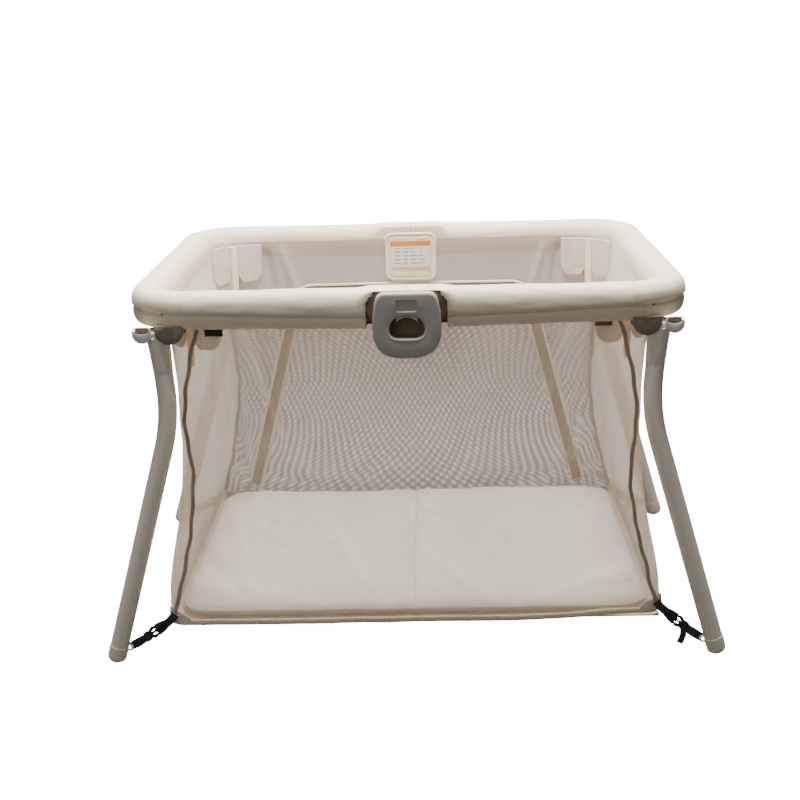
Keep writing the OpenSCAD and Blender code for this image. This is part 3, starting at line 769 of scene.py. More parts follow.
def sleeve_half(side):
    """The left half when side is 1, the right half when it is -1."""
    rings = ring_places()
    last = len(rings) - 1
    cut = round(WINDOW / RING_STEP)

    def rule(u, v):
        ring = round(u * last)
        s = rings[ring]
        near = min(ring, last - ring)
        if near <= 2 * cut:
            height = rail_section(v, WINDOW)[1]
            share = near / cut if near <= cut else 2 - near / cut
            edge = window_edge(height)
            from_hub = min(s, HALF_LENGTH - s)
            shifted = from_hub + (edge - rings[cut]) * share
            s = shifted if ring < last / 2 else HALF_LENGTH - shifted
        point = rail_rule(s, v)
        point.x *= side
        return point

    piece = cloth_grid(f"rail_cover_{side_name(side)}", last, AROUND, rule,
                       (HALF_LENGTH, 0.2), rail_knit)
    open_window(piece)
    weld(piece)
    return piece


def open_window(piece):
    """Deletes the faces in front of the hub: the outer face and the underside."""
    mesh = bmesh.new()
    mesh.from_mesh(piece.data)
    doomed = []
    for face in mesh.faces:
        at = face.calc_center_median()
        on_long_side = abs(at.y) > SIDE_Y - PAD_WIDTH / 2 - 0.01
        outer = abs(at.y) - SIDE_Y
        over_top = at.z > RAIL_TOP - 0.0035 and outer < 0.0262
        inner = outer < -PAD_WIDTH / 2 + 0.009 or (outer < 0 and at.z > RAIL_MID)
        if on_long_side and abs(at.x) < window_edge(at.z) and not over_top and not inner:
            doomed.append(face)
    bmesh.ops.delete(mesh, geom=doomed, context="FACES")
    mesh.to_mesh(piece.data)
    mesh.free()


def finish_cover(piece, side):
    """Gives the cover its wall and puts it in place of the design's sleeve."""
    shell = piece.modifiers.new("wall", "SOLIDIFY")
    shell.thickness = 0.0022
    shell.offset = -1
    finish_modifiers(piece)
    word = side_name(side)
    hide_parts(f"rail_sleeve_{word}", "sleeve_bridges")
    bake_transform(piece)


for side in (1, -1):
    cover = sleeve_half(side)
    finish_cover(cover, side)
    print(cover.name, len(cover.data.polygons), "faces")

# %% [markdown]
# ## Hard parts
# Hubs, tongues, housings and the leg fittings already have their working form. They are
# copied, given a small round edge and their own plastic.

# %% Copy and finish the hard parts
def cover_bores(housing, side):
    """Thin flush discs that hide the pin ends in the outer faces of the housings."""
    pin_lo, pin_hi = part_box("leg_pins_left" if side < 0 else "leg_pins_right")
    parts = [housing]
    for face in (-1, 1):
        deselect()
        middle = (pin_lo + pin_hi) / 2
        bpy.ops.mesh.primitive_cylinder_add(
            vertices=40, radius=0.0062, depth=0.0007, rotation=(math.pi / 2, 0, 0),
            location=(middle.x, face * (pin_hi.y + 0.00105), middle.z))
        disc = bpy.context.object
        bpy.ops.object.transform_apply(location=True, rotation=True, scale=True)
        disc.data.materials.append(disc_plastic)
        parts.append(disc)
    join(parts, housing.name)


LEGS = ("fl", "rl", "fr", "rr")
SIDES = ("left", "right")
ENDS = ("front", "rear")

for end in ENDS:
    rounded_copy(f"hub_{end}", hub_plastic, 0.0012, 3)
    rounded_copy(f"trigger_{end}", lever_plastic, 0.0012, 3)
    spring = rounded_copy(f"trigger_spring_{end}", steel, 0)
    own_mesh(spring)
for node in ("fold_pins", "plate_screws"):
    rounded_copy(node, steel, 0.0004, 2)
for side in SIDES:
    housing = rounded_copy(f"hinge_housings_{side}", disc_plastic, 0.0012, 3)
    cover_bores(housing, -1 if side == "left" else 1)
    rounded_copy(f"rail_tongues_{side}", hub_plastic, 0.0008, 2)
    repaint(f"rail_tube_{side}", steel)
    rounded_copy(f"leg_pins_{side}", steel, 0.0006, 2)
for leg in LEGS:
    collar = rounded_copy(f"leg_collar_{leg}", collar_plastic, 0.0004, 2)
    foot = min(v.co.z for v in collar.data.vertices)
    low = [v.co for v in collar.data.vertices if v.co.z < foot + 0.004]
    middle = sum(low, Vector()) / len(low)
    for vertex in collar.data.vertices:
        near = 1 - smooth_step(vertex.co.z, foot + 0.002, foot + 0.030)
        if near > 0:
            away = (vertex.co - middle) * 0.036 * near
            vertex.co.x -= away.x
            vertex.co.y -= away.y
print("hard parts finished")

# %% [markdown]
# ## Legs
# A leg is one tube with a long, easy bend. A lower end cap with a flat foot closes it and holds
# the small ring for the strap. The squeeze lever is a shallow cup between two crescent cheeks,
# with a dark plate inside as painted shade.

# %% Leg lines
LEG_Y = -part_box("leg_pins_left")[0].y - 0.021
COLLAR_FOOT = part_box("leg_collar_fl")[0].z
# The leg's middle line in x and z, as in the design: its top, its two leans and its knee.
LEG_TOP = Vector((0.449, 0.656))
UPPER_LEAN = math.radians(3.9)
LOWER_LEAN = math.radians(16.2)
KNEE_Z = 0.485
KNEE_REACH = 0.060
TUBE_R = 0.0175
FOOT_Z = 0.016


def lean_point(start, angle, z):
    """A point on a leaning line, at a height."""
    return Vector((start.x + (start.y - z) * math.tan(angle), z))


KNEE = lean_point(LEG_TOP, -UPPER_LEAN, KNEE_Z)
KNEE_OVER = lean_point(KNEE, -UPPER_LEAN, KNEE_Z + KNEE_REACH)
KNEE_UNDER = lean_point(KNEE, LOWER_LEAN, KNEE_Z - KNEE_REACH)
FOOT = lean_point(KNEE, LOWER_LEAN, FOOT_Z)
LEG_START = lean_point(LEG_TOP, -UPPER_LEAN, COLLAR_FOOT + 0.03)


def leg_line(share):
    """The tube's middle line from collar to foot: straight, an easy bend, straight."""
    if share < 0.25:
        return LEG_START.lerp(KNEE_OVER, share / 0.25)
    if share < 0.55:
        t = (share - 0.25) / 0.30
        return KNEE_OVER * (1 - t) ** 2 + KNEE * 2 * t * (1 - t) + KNEE_UNDER * t ** 2
    return KNEE_UNDER.lerp(lean_point(KNEE, LOWER_LEAN, FOOT_Z + 0.012), (share - 0.55) / 0.45)


def corner_signs(leg):
    """Left or right, front or rear, as signs."""
    return (-1 if leg[1] == "l" else 1), (-1 if leg[0] == "f" else 1)


def leg_rule(leg):
    side, face = corner_signs(leg)

    def rule(u, v):
        at = leg_line(v)
        ahead = (leg_line(min(1, v + 0.01)) - leg_line(max(0, v - 0.01))).normalized()
        turn = 2 * math.pi * u
        across = Vector((-ahead.y, ahead.x)) * math.cos(turn) * TUBE_R
        y = LEG_Y + math.sin(turn) * TUBE_R
        return Vector((side * (at.x + across.x), face * y, at.y + across.y))

    return rule


def cap_rule(leg):
    """The end cap: a tilted half ball on a short neck, cut flat on the floor."""
    side, face = corner_signs(leg)
    radius = TUBE_R + 0.0009
    tilt = Vector((-math.sin(LOWER_LEAN), math.cos(LOWER_LEAN)))

    def rule(u, v):
        along = blend_between(0.016, -0.0195, v ** 0.8)
        below = abs(min(0.0, along + 0.004)) / 0.0155
        reach = radius * math.sqrt(max(0.0, 1 - below ** 2.6))
        turn = 2 * math.pi * u
        side_way = Vector((tilt.y, -tilt.x)) * math.cos(turn) * reach
        at = FOOT + tilt * along + side_way
        return Vector((side * at.x, face * (LEG_Y + math.sin(turn) * reach), max(0.0, at.y)))

    return rule


def finish_hard(piece, material, slot_name, body, *replaced):
    """Joins the steps every hard piece shares."""
    piece.data.materials.clear()
    piece.data.materials.append(material)
    shade_hard(piece)
    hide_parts(*replaced)
    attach(piece, body)


def tube_from(name, around, along, rule, material, wrap=2e-5):
    """A closed tube: the grid's two long edges meet and its ends are filled."""
    piece = cloth_grid(name, around, along, rule, (0.11, 0.6), material,
                       close=True, wrap=wrap)
    close_holes(piece)
    return piece


def ring(place, big, small, turn):
    """A small ring, with its place and turn baked in."""
    deselect()
    bpy.ops.mesh.primitive_torus_add(location=place, rotation=turn,
                                     major_radius=big, minor_radius=small,
                                     major_segments=32, minor_segments=12)
    piece = bpy.context.object
    bpy.ops.object.transform_apply(location=True, rotation=True, scale=True)
    return piece


for leg in LEGS:
    side, face = corner_signs(leg)
    body = body_of_node(f"leg_tube_{leg}")
    tube = tube_from(f"leg_{leg}", 48, 90, leg_rule(leg), leg_paint)
    finish_hard(tube, leg_paint, "leg_paint", body, f"leg_tube_{leg}")
    cap = tube_from(f"foot_{leg}", 48, 40, cap_rule(leg), collar_plastic, 1e-5)
    lug_at = (side * (FOOT.x - 0.0235), face * LEG_Y, 0.0265)
    lug = ring(lug_at, 0.0058, 0.0022, (math.pi / 2, 0, 0))
    foot = join([cap, lug], f"foot_{leg}")
    finish_hard(foot, collar_plastic, "collar_plastic", body, f"foot_cap_{leg}")
print("legs", round(KNEE.x, 4), round(FOOT.x, 4))

# %% Squeeze levers
def slab(name, outline, low, high, material, edge=0.0, segments=3):
    """A flat outline in x and z, given depth from one y to another and a small round edge."""
    deselect()
    bpy.ops.mesh.primitive_circle_add(vertices=len(outline), radius=1, fill_type="NGON")
    piece = bpy.context.object
    piece.name = name
    for vertex, (x, z) in zip(piece.data.vertices, outline):
        vertex.co = (x, low, z)
    depth = piece.modifiers.new("depth", "SOLIDIFY")
    depth.thickness = abs(high - low)
    depth.offset = 0
    if edge:
        bevel = piece.modifiers.new("edge", "BEVEL")
        bevel.width = edge
        bevel.segments = segments
        bevel.limit_method = "ANGLE"
    finish_modifiers(piece)
    middle = (low + high) / 2 - low
    for vertex in piece.data.vertices:
        vertex.co.y += middle
    close_holes(piece)
    piece.data.materials.append(material)
    return piece


# The cup's middle in x and z, its radius and half its width along the pin.
LEVER_AT = Vector((0.472, 0.651))
LEVER_R = 0.0175
LEVER_HALF = 0.0249


def arc(centre, radius, start, end, steps):
    turns = [start + (end - start) * i / steps for i in range(steps + 1)]
    return [(centre.x + radius * math.cos(t), centre.y + radius * math.sin(t)) for t in turns]


LENS_TIP = math.radians(24)


def lens_edge(rise, steps=20):
    """One edge of the lens-shaped opening, from its right tip to its left."""
    half = LEVER_R * 0.98 * math.cos(LENS_TIP) * 0.86
    tip = LEVER_AT.y + LEVER_R * math.sin(LENS_TIP) * 0.9
    turns = [math.pi * i / steps for i in range(steps + 1)]
    return [(LEVER_AT.x + half * math.cos(t), tip + rise * math.sin(t)) for t in turns]


def make_lever(leg):
    """A shallow cup: two cheeks with a lens-shaped opening, a dark plate inside as painted shade
    and a curved pad.
    """
    side, face = corner_signs(leg)
    parts = []
    lower = arc(LEVER_AT, LEVER_R, math.pi - LENS_TIP, 2 * math.pi + LENS_TIP, 40)
    lower += lens_edge(-0.0068)
    upper = arc(LEVER_AT, LEVER_R, LENS_TIP, math.pi - LENS_TIP, 28)
    upper += lens_edge(0.0052)[::-1]
    upper = [(x, min(z, LEVER_AT.y + 0.0125)) for x, z in upper]
    # The inner discs are dark plates set just inside the cheeks: painted shade in the cup.
    disc = arc(LEVER_AT, LEVER_R - 0.003, 0, 2 * math.pi, 36)[:-1]
    disc = [(x, min(z, LEVER_AT.y + 0.0112)) for x, z in disc]
    for end in (1, -1):
        y = face * (LEG_Y + end * LEVER_HALF)
        inside = face * (LEG_Y + end * (LEVER_HALF - 0.0040))
        outlines = ((lower, y, lever_plastic), (disc, inside, disc_plastic))
        if end > 0:
            outlines += ((upper, y, lever_plastic),)
        for outline, at, paint in outlines:
            if end < 0:
                outline = [(x, min(z, LEVER_AT.y + 0.001)) for x, z in outline]
            outline = [(side * x, z) for x, z in outline]
            parts.append(slab("cheek", outline, at - 0.0013, at + 0.0013, paint, 0.0006))
    outer = arc(LEVER_AT, LEVER_R - 0.0002, -math.pi * 0.62, math.pi * 0.02, 24)
    inner = arc(LEVER_AT, LEVER_R - 0.0038, math.pi * 0.02, -math.pi * 0.62, 24)
    outline = [(side * x, z) for x, z in outer + inner]
    low, high = sorted((face * (LEG_Y - LEVER_HALF), face * (LEG_Y + LEVER_HALF)))
    parts.append(slab("pad", outline, low, high, lever_plastic, 0.0006))
    lever = join(parts, f"lever_{leg}")
    shade_hard(lever)
    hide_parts(f"release_lever_{leg}")
    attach(lever, body_of_node(f"release_lever_{leg}"))
    return lever


for leg in LEGS:
    print(make_lever(leg).name)

# %% [markdown]
# ## Handle plates
# The plate is a broad moulded grip. Its outline swells to the middle and rounds off below. It
# is laid out in rings from the outer edge to the finger hole, so that the bevel along the rim,
# the raised lip under the hole and the blank recessed pad are all one surface.

# %% Plate outlines
PLATE_TOP = plate_hi.z
PLATE_TALL = plate_hi.z - plate_lo.z
PLATE_HALF = plate_hi.x
HOLE_Z = PLATE_TOP - 0.0625
# The plate's right edge from top to foot: shares of its height and of its half width.
PLATE_POINTS = ((0, 0), (0, 0.40), (0.004, 0.68), (0.032, 0.80), (0.09, 0.885),
                (0.25, 0.962), (0.46, 1.0), (0.66, 0.985), (0.80, 0.905), (0.90, 0.76),
                (0.965, 0.55), (1.0, 0.25), (1.0, 0))
# The hole's right edge from top to foot: height and half width from its middle, in mm.
HOLE_POINTS = ((20, 0), (19.6, 9), (17.3, 18), (12, 25.2), (4, 29.6), (-5, 31),
               (-12.5, 29.2), (-17.8, 23.5), (-20, 15), (-20, 0))


def smooth_run(points, steps=14):
    """A smooth line through points."""
    run = []
    for i in range(len(points) - 1):
        a = points[max(0, i - 1)]
        b, c = points[i], points[i + 1]
        d = points[min(len(points) - 1, i + 2)]
        for k in range(steps):
            t = k / steps
            run.append([0.5 * (2 * b[n] + (c[n] - a[n]) * t
                               + (2 * a[n] - 5 * b[n] + 4 * c[n] - d[n]) * t * t
                               + (3 * b[n] - a[n] - 3 * c[n] + d[n]) * t ** 3)
                        for n in (0, 1)])
    run.append(list(points[-1]))
    return run


def mirrored(run):
    """A closed outline in x and z, from its right half."""
    return run + [(-x, z) for x, z in reversed(run[1:-1])]


PLATE_RUN = mirrored([(PLATE_HALF * w, PLATE_TOP - PLATE_TALL * t)
                      for t, w in smooth_run(PLATE_POINTS)])
HOLE_RUN = mirrored([(w / 1000, HOLE_Z + z / 1000) for z, w in smooth_run(HOLE_POINTS)])


def reach_to(run, angle):
    """How far a ray from the hole's middle goes before it meets an outline."""
    dx, dz = math.sin(angle), math.cos(angle)
    best = 0.0
    for (x0, z0), (x1, z1) in zip(run, run[1:] + run[:1]):
        z0, z1 = z0 - HOLE_Z, z1 - HOLE_Z
        wide = dx * (z1 - z0) - dz * (x1 - x0)
        if abs(wide) < 1e-12:
            continue
        far = (x0 * (z1 - z0) - z0 * (x1 - x0)) / wide
        along = (x0 * dz - z0 * dx) / wide
        if far > 0 and -1e-6 <= along <= 1 + 1e-6:
            best = max(best, far)
    return best


PLATE_STEPS = 220
PLATE_TURNS = [2 * math.pi * i / PLATE_STEPS for i in range(PLATE_STEPS + 1)]
REACHES = [(reach_to(PLATE_RUN, turn), reach_to(HOLE_RUN, turn)) for turn in PLATE_TURNS]
print("plate outlines", len(PLATE_RUN), len(HOLE_RUN))

# %% Make the plates
PAD_AT = PLATE_TOP - 0.0235
CHAMFER = 0.0066
RIM = 0.0035
DEEP = plate_hi.y - plate_lo.y


def pressed(x, z):
    """How deep the blank pad is pressed into the face."""
    dx = max(0.0, abs(x) - 0.0135)
    dz = max(0.0, abs(z - PAD_AT) - 0.0065)
    return 0.0016 * (1 - smooth_step(math.hypot(dx, dz), 0.0030, 0.0044))


def plate_rule(face):
    """Five rings from the back edge: side, chamfer, face, lip, hole wall, and then the back."""
    def rule(u, v):
        step = round(u * PLATE_STEPS)
        outer, inner = REACHES[step]
        angle = PLATE_TURNS[step]
        below = max(0.0, -math.cos(angle)) ** 0.6
        if v < 0.10:
            reach, depth = outer, DEEP * 0.62 * v / 0.10
        elif v < 0.18:
            t = (v - 0.10) / 0.08
            reach = outer - CHAMFER * (1 - math.cos(t * math.pi / 2))
            depth = DEEP * 0.62 + DEEP * 0.33 * math.sin(t * math.pi / 2)
        elif v < 0.80:
            t = (v - 0.18) / 0.62
            reach = blend_between(outer - CHAMFER, inner + RIM, t)
            depth = DEEP * (0.95 + 0.05 * math.sin(math.pi * t))
            depth += 0.0012 * below * smooth_step(t, 0.86, 1.0)
        elif v < 0.86:
            t = (v - 0.80) / 0.06
            reach = inner + RIM * (1 - math.sin(t * math.pi / 2))
            depth = DEEP * 0.95 + 0.0012 * below - 0.0032 * (1 - math.cos(t * math.pi / 2))
        elif v < 0.92:
            t = (v - 0.86) / 0.06
            reach, depth = inner, (DEEP * 0.95 + 0.0012 * below - 0.0032) * (1 - t)
        else:
            reach, depth = blend_between(inner, outer, (v - 0.92) / 0.08), 0.0
        x, z = math.sin(angle) * reach, HOLE_Z + math.cos(angle) * reach
        if 0.16 < v < 0.82:
            depth -= pressed(x, z)
        return Vector((x, face * (HUB_FACE + depth), z))

    return rule


HUB_FACE = -plate_hi.y
for end, face in (("front", -1), ("rear", 1)):
    plate = cloth_grid(f"grip_plate_{end}", PLATE_STEPS, 100, plate_rule(face),
                       (0.3, 0.1), plate_plastic, close=True, wrap=2e-5)
    finish_hard(plate, plate_plastic, "plate_plastic", "centre_hubs", f"handle_plate_{end}")
    print(plate.name, len(plate.data.polygons))

# %% [markdown]
# ## The net walls
# Each wall is one sheet in the real bag. The design splits it on the middle line, where the
# frame folds, so it is made here in two halves that meet. The top edge is sewn to the rail and
# the foot to the floor. Between them the net pulls in at the waist and has a few soft folds.

# %% Wall outlines
NET_FOOT = floor_lo.z + 0.004
HEM_X = -end_lo.x + 0.001
TOP_X = 0.372


STRAP_PULL = 0.013


def lifted(x, y, z):
    """A point of the bag, with its right front corner pulled up a little by the strap."""
    near = smooth_step(x, 0.20, 0.47) * smooth_step(-y, 0.20, 0.33)
    low = 1 - smooth_step(z, NET_FOOT, NET_FOOT + 0.22)
    return Vector((x, y, z + STRAP_PULL * near * low))


def down_wall(z):
    """0 at the rail and 1 at the foot of a wall."""
    return (WALL_TOP - z) / (WALL_TOP - NET_FOOT)


def edge_x(z):
    """Half-length of the long walls at a height: narrow at the top, a waist, a wide foot."""
    share = down_wall(z)
    straight = blend_between(TOP_X, HEM_X - 0.004, share)
    out = 0.016 * math.sin(math.pi * min(1, share * 1.9))
    waist = 0.017 * math.sin(math.pi * max(0.0, share - 0.35) / 0.65)
    return straight + out - waist


def end_x(z):
    """Half-length of the bag at its end walls, with the waist."""
    share = down_wall(z)
    straight = blend_between(-end_lo.x - 0.0255, HEM_X, share ** 1.3)
    return straight - 0.030 * math.sin(math.pi * min(1.0, share * 1.12)) ** 1.3


def corner_y(z):
    """Where the end wall's flat stretch stops, at a height."""
    share = down_wall(z)
    return blend_between(ARC_Y + 0.013, WALL_Y - 0.012, share)


FOLDS = (
    # x, z of the top of the fold, then of its foot, width and depth
    (-0.335, 0.66, -0.300, 0.34, 0.011, 0.0050),
    (-0.300, 0.66, -0.235, 0.45, 0.009, -0.0035),
    (-0.372, 0.60, -0.330, 0.22, 0.014, 0.0045),
    (0.330, 0.66, 0.290, 0.36, 0.012, 0.0050),
    (0.290, 0.66, 0.240, 0.48, 0.010, -0.0035),
    (0.372, 0.58, 0.330, 0.20, 0.014, 0.0045),
    (-0.440, 0.15, -0.180, 0.09, 0.016, 0.0035),
    (-0.420, 0.22, -0.300, 0.08, 0.014, -0.0030),
    (0.430, 0.16, 0.220, 0.09, 0.016, 0.0035),
    (0.020, 0.20, 0.160, 0.09, 0.015, 0.0025),
    (-0.150, 0.24, -0.060, 0.09, 0.015, 0.0022),
)


def fold_depth(x, z):
    """How far the soft folds push the net in or out at a place."""
    depth = 0.0
    for x0, z0, x1, z1, width, height in FOLDS:
        along = Vector((x1 - x0, z1 - z0))
        reach = Vector((x - x0, z - z0))
        share = reach.dot(along) / along.length_squared
        if -0.3 < share < 1.3:
            off = abs(reach.x * along.y - reach.y * along.x) / along.length
            ends = smooth_step(share, -0.3, 0.15) * (1 - smooth_step(share, 0.6, 1.3))
            depth += height * math.exp(-((off / width) ** 2)) * ends
    return depth


def long_wall_rule(side, front):
    """Places the net of one half of a long wall; u runs from the middle to the edge."""
    face = -1 if front else 1

    def rule(u, v):
        z = blend_between(NET_FOOT, WALL_TOP, v)
        x = -side * edge_x(z) * u
        share = down_wall(z)
        billow = 0.0035 * math.sin(math.pi * share) * math.sin(math.pi * (0.5 + u / 2))
        hold = smooth_step(share, 0.0, 0.05) * (1 - smooth_step(share, 0.93, 1.0))
        sample = Vector((x * 5.0 + (0 if front else 7.3), 1.7, z * 3.0))
        ripple = noise.noise(sample) * 0.0035 + noise.noise(sample * 3.1) * 0.0012
        deep = 1.7 * fold_depth(x if front else -x, z)
        calm = smooth_step(abs(x), 0.0, 0.02) if u < 0.06 else 1.0
        y = WALL_Y - 0.0035 + (ripple + deep) * hold * (0.35 + 0.65 * calm) - billow
        y += 0.0035 * smooth_step(share, 0.8, 1.0)
        y = face * min(y, WALL_Y + 0.005)
        return lifted(x, y, z)

    return rule


print("wall edge", [round(edge_x(z), 3) for z in (0.65, 0.45, 0.28, 0.09)])

# %% Make the net walls
NET_SPAN = WALL_TOP - NET_FOOT


def hang_wall(piece, node):
    """Puts a net wall in place of the design's wall."""
    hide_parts(node)
    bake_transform(piece)


def make_long_wall(side, front):
    word = f"{'front' if front else 'rear'}_{side_name(side)}"
    # The rear halves take the net painted darker, as painted shade.
    piece = cloth_grid(f"net_{word}", 110, 150, long_wall_rule(side, front),
                       (0.44, NET_SPAN), bag_net if front else far_net_painted_shade)
    weld(piece)
    hang_wall(piece, f"wall_{word}")
    return piece


def end_wall_rule(side):
    """Places an end wall, from its front seam round both corners to its rear seam."""

    def rule(u, v):
        z = blend_between(NET_FOOT, WALL_TOP, v)
        ys, xs = corner_y(z), edge_x(z)
        xe = end_x(z)
        corner = 0.18
        seam = Vector((-xs, -WALL_Y))
        flat_start = Vector((-xe, -ys))
        mirror = 1 if u <= 0.5 else -1
        w = u if u <= 0.5 else 1 - u
        if w < corner:
            t = w / corner
            pull = 0.62
            c1 = seam + Vector((-(xe - xs), 0)) * pull
            c2 = flat_start + Vector((0, -(WALL_Y - ys))) * pull
            flat = (seam * (1 - t) ** 3 + c1 * 3 * t * (1 - t) ** 2
                    + c2 * 3 * t * t * (1 - t) + flat_start * t ** 3)
        else:
            flat = flat_start.lerp(Vector((-xe, 0)), (w - corner) / (0.5 - corner))
        share = down_wall(z)
        hold = smooth_step(share, 0.0, 0.06) * (1 - smooth_step(share, 0.94, 1.0))
        hold *= smooth_step(w, 0.0, 0.06)
        sample = Vector((u * 5.0, 3.7 + side, z * 3.0))
        ripple = noise.noise(sample) * 0.006 + noise.noise(sample * 2.6) * 0.002
        bow = 0.010 * math.sin(math.pi * share) * smooth_step(w, 0.1, 0.5)
        x = flat.x + (ripple * hold + bow)
        x, y = x * side, flat.y * mirror
        return lifted(x, y, z)

    return rule


def make_end_wall(side):
    word = side_name(side)
    piece = cloth_grid(f"net_end_{word}", 190, 130, end_wall_rule(side),
                       (0.72, NET_SPAN), bag_net)
    weld(piece)
    hang_wall(piece, f"wall_end_{word}")
    return piece


for side in (1, -1):
    made = [make_long_wall(side, True), make_long_wall(side, False), make_end_wall(side)]
    print("net walls", [p.name for p in made])

# %% [markdown]
# ## Floor and mattress
# The floor is a padded board in cloth, and the mattress is a thin pad on it. Both fold on the
# middle line. The mattress has rounded corners, a soft crown and a few creases.

# %% Floor and mattress
def floor_rule(side):
    def rule(u, v):
        x = -side * (HEM_X - 0.004) * u
        y = blend_between(-WALL_Y + 0.006, WALL_Y - 0.006, v)
        return Vector((x, y, floor_lo.z + 0.003))

    return rule


def make_floor(side):
    word = side_name(side)
    piece = cloth_grid(f"floor_pad_{word}", 40, 60, floor_rule(side),
                       (0.475, 0.65), hem_cloth, 0.005)
    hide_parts(f"bag_floor_{word}")
    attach(piece, f"floor_{word}")
    return piece


BED_X = -bed_lo.x
BED_Y = -bed_lo.y
BED_CORNER = 0.058


def bed_top(side):
    """The mattress as one closed skin: v runs over the top and back under the foot."""
    def rule(u, v):
        loop = v * 2
        over = loop <= 1
        y_share = -1 + 2 * (loop if over else 2 - loop)
        rim = 1 - min(1.0, (1 - abs(y_share)) / 0.09)
        rim_x = 1 - min(1.0, (1 - u) / 0.06)
        x, y = rounded_square(u, y_share, BED_X, BED_Y, BED_CORNER)
        mid = (bed_lo.z + bed_hi.z) / 2
        half = (bed_hi.z - bed_lo.z) / 2
        round_off = math.sqrt(max(0.0, 1 - max(rim, rim_x) ** 2.2))
        z = mid + (half if over else -half) * round_off
        if over:
            sample = Vector((-side * x * 5.5, y * 7.5, 2.2))
            crease = noise.noise(sample) * 0.006 + noise.noise(sample * 2.3) * 0.003
            sample = Vector((-side * x * 4.2 + 3.0, y * 7.0, 5.5))
            ridge = 1 - min(1.0, abs(noise.noise(sample)) * 9)
            crease += ridge ** 2 * 0.0045
            z += crease * round_off * smooth_step(u, 0.0, 0.03) - 0.0015
            z -= 0.0035 * math.exp(-((u * BED_X) / 0.006) ** 2)
        return Vector((-side * x, y, z))

    return rule


def make_bed(side):
    word = side_name(side)
    piece = cloth_grid(f"mattress_pad_{word}", 90, 260, bed_top(side),
                       (BED_X, 4 * BED_Y), bed_cloth, close=True, wrap=0.0004)
    close_holes(piece)
    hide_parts(f"mattress_{word}")
    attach(piece, f"floor_{word}")
    return piece


for side in (1, -1):
    print(make_floor(side).name, make_bed(side).name)

# %% [markdown]
# ## Hem, tapes and tabs
# The bag has a narrow rolled hem at its foot, ribbed tapes down the four corner seams, a brushed
# facing in each top corner and small patches where the straps pull on it. All of them
# follow the net, so they use the same outlines, a little outside it.

# %% Hem and corner seams
HEM_CORNER = 0.030
HEM_LONG = HEM_X - HEM_CORNER
HEM_SHORT = WALL_Y - HEM_CORNER
EDGE_LENGTH = 2 * (HEM_LONG + HEM_SHORT) + math.pi * HEM_CORNER
PATCH_WIDE = 0.074
PATCH_AHEAD = 0.012


def edge_place(s):
    """Half of the floor's edge: from the front middle round the end to the rear middle."""
    return half_loop(s, HEM_LONG, HEM_SHORT, HEM_CORNER)


def hem_rule(side):
    """A soft roll, 11 mm high, that follows the floor's edge."""

    def rule(u, v):
        at, out = edge_place(u * EDGE_LENGTH)
        turn = 2 * math.pi * v
        sample = Vector((at.x * 14 * side, at.y * 14, 1.0))
        wander = noise.noise(sample) * 0.0016
        across = 0.0005 + 0.0021 * math.cos(turn) + wander * 0.4
        z = NET_FOOT + 0.0005 + wander + 0.0062 * math.sin(turn)
        z -= 0.0006 * abs(noise.noise(sample * 6))
        x, y = side * (at.x + out.x * across), at.y + out.y * across
        return lifted(x, y, z)

    return rule


def seam_tape(side, face):
    """A ribbed tape over the seam between a long wall and an end wall."""
    def rule(u, v):
        z = blend_between(NET_FOOT + 0.006, RAIL_FOOT + 0.004, v)
        share = 1 - v
        x = edge_x(z) + 0.0012 - 0.0074 * u
        bulge = 0.0012 * math.sin(math.pi * u)
        wave = 0.0011 * math.sin(z * 95 + side)
        wave += noise.noise(Vector((side, face, z * 14))) * 0.0022
        y = WALL_Y + 0.0012 + bulge - 0.0030 * math.sin(math.pi * share)
        x, y = -side * (x + wave), face * y
        return lifted(x, y, z)

    return cloth_grid("tape", 8, 180, rule, (0.0092, 0.60), tape_cloth, 0.0012)


def bottom_patch(side, face):
    """A small facing wrapped round the bag's bottom corner."""
    def rule(u, v):
        reach = HEM_LONG - PATCH_AHEAD + u * PATCH_WIDE
        at, out = edge_place(reach if face < 0 else EDGE_LENGTH - reach)
        z = blend_between(NET_FOOT - 0.003, NET_FOOT + 0.030 - 0.020 * abs(2 * u - 1) ** 1.5, v)
        puff = 0.0026 + 0.0012 * math.sin(math.pi * u) * math.sin(math.pi * v)
        x, y = side * (at.x + out.x * puff), at.y + out.y * puff
        return lifted(x, y, z)

    return cloth_grid("patch", 24, 12, rule, (PATCH_WIDE, 0.030), hem_cloth, 0.0012)


def corner_facing(side, face):
    """Two brushed tabs inside a top corner, either side of a cream strip."""
    start = Vector((-end_lo.x - 0.0300, ARC_Y - 0.004))
    turn_at = Vector((0.4130, WALL_Y - 0.0105))
    stop = Vector((0.3380, WALL_Y - 0.0100))
    tabs = []
    for low, high, drop, cloth in (
        (0.02, 0.44, 0.085, suede),
        (0.56, 0.98, 0.085, suede),
        (0.44, 0.56, 0.118, hem_cloth),
    ):
        def rule(u, v, low=low, high=high, drop=drop, cloth=cloth):
            middle, half = (low + high) / 2, (high - low) / 2
            narrow = 1 - 0.55 * max(0.0, (v - 0.70) / 0.30) ** 2.4 if cloth is suede else 1
            t = middle + half * (2 * u - 1) * narrow
            at = start * (1 - t) ** 2 + turn_at * 2 * t * (1 - t) + stop * t * t
            cushion = 0.0016 * math.sin(math.pi * u) * math.sin(math.pi * min(1, v * 1.02))
            raised = 0.0004 if cloth is suede else 0.0014
            inward = Vector((-0.56, -0.83)) * (cushion + raised)
            z = WALL_TOP - 0.004 - drop * v
            return Vector((-side * (at.x + inward.x), face * (at.y + inward.y), z))

        tabs.append(cloth_grid("tab", 16, 40, rule, (0.04, drop), cloth, 0.0014))
    return tabs


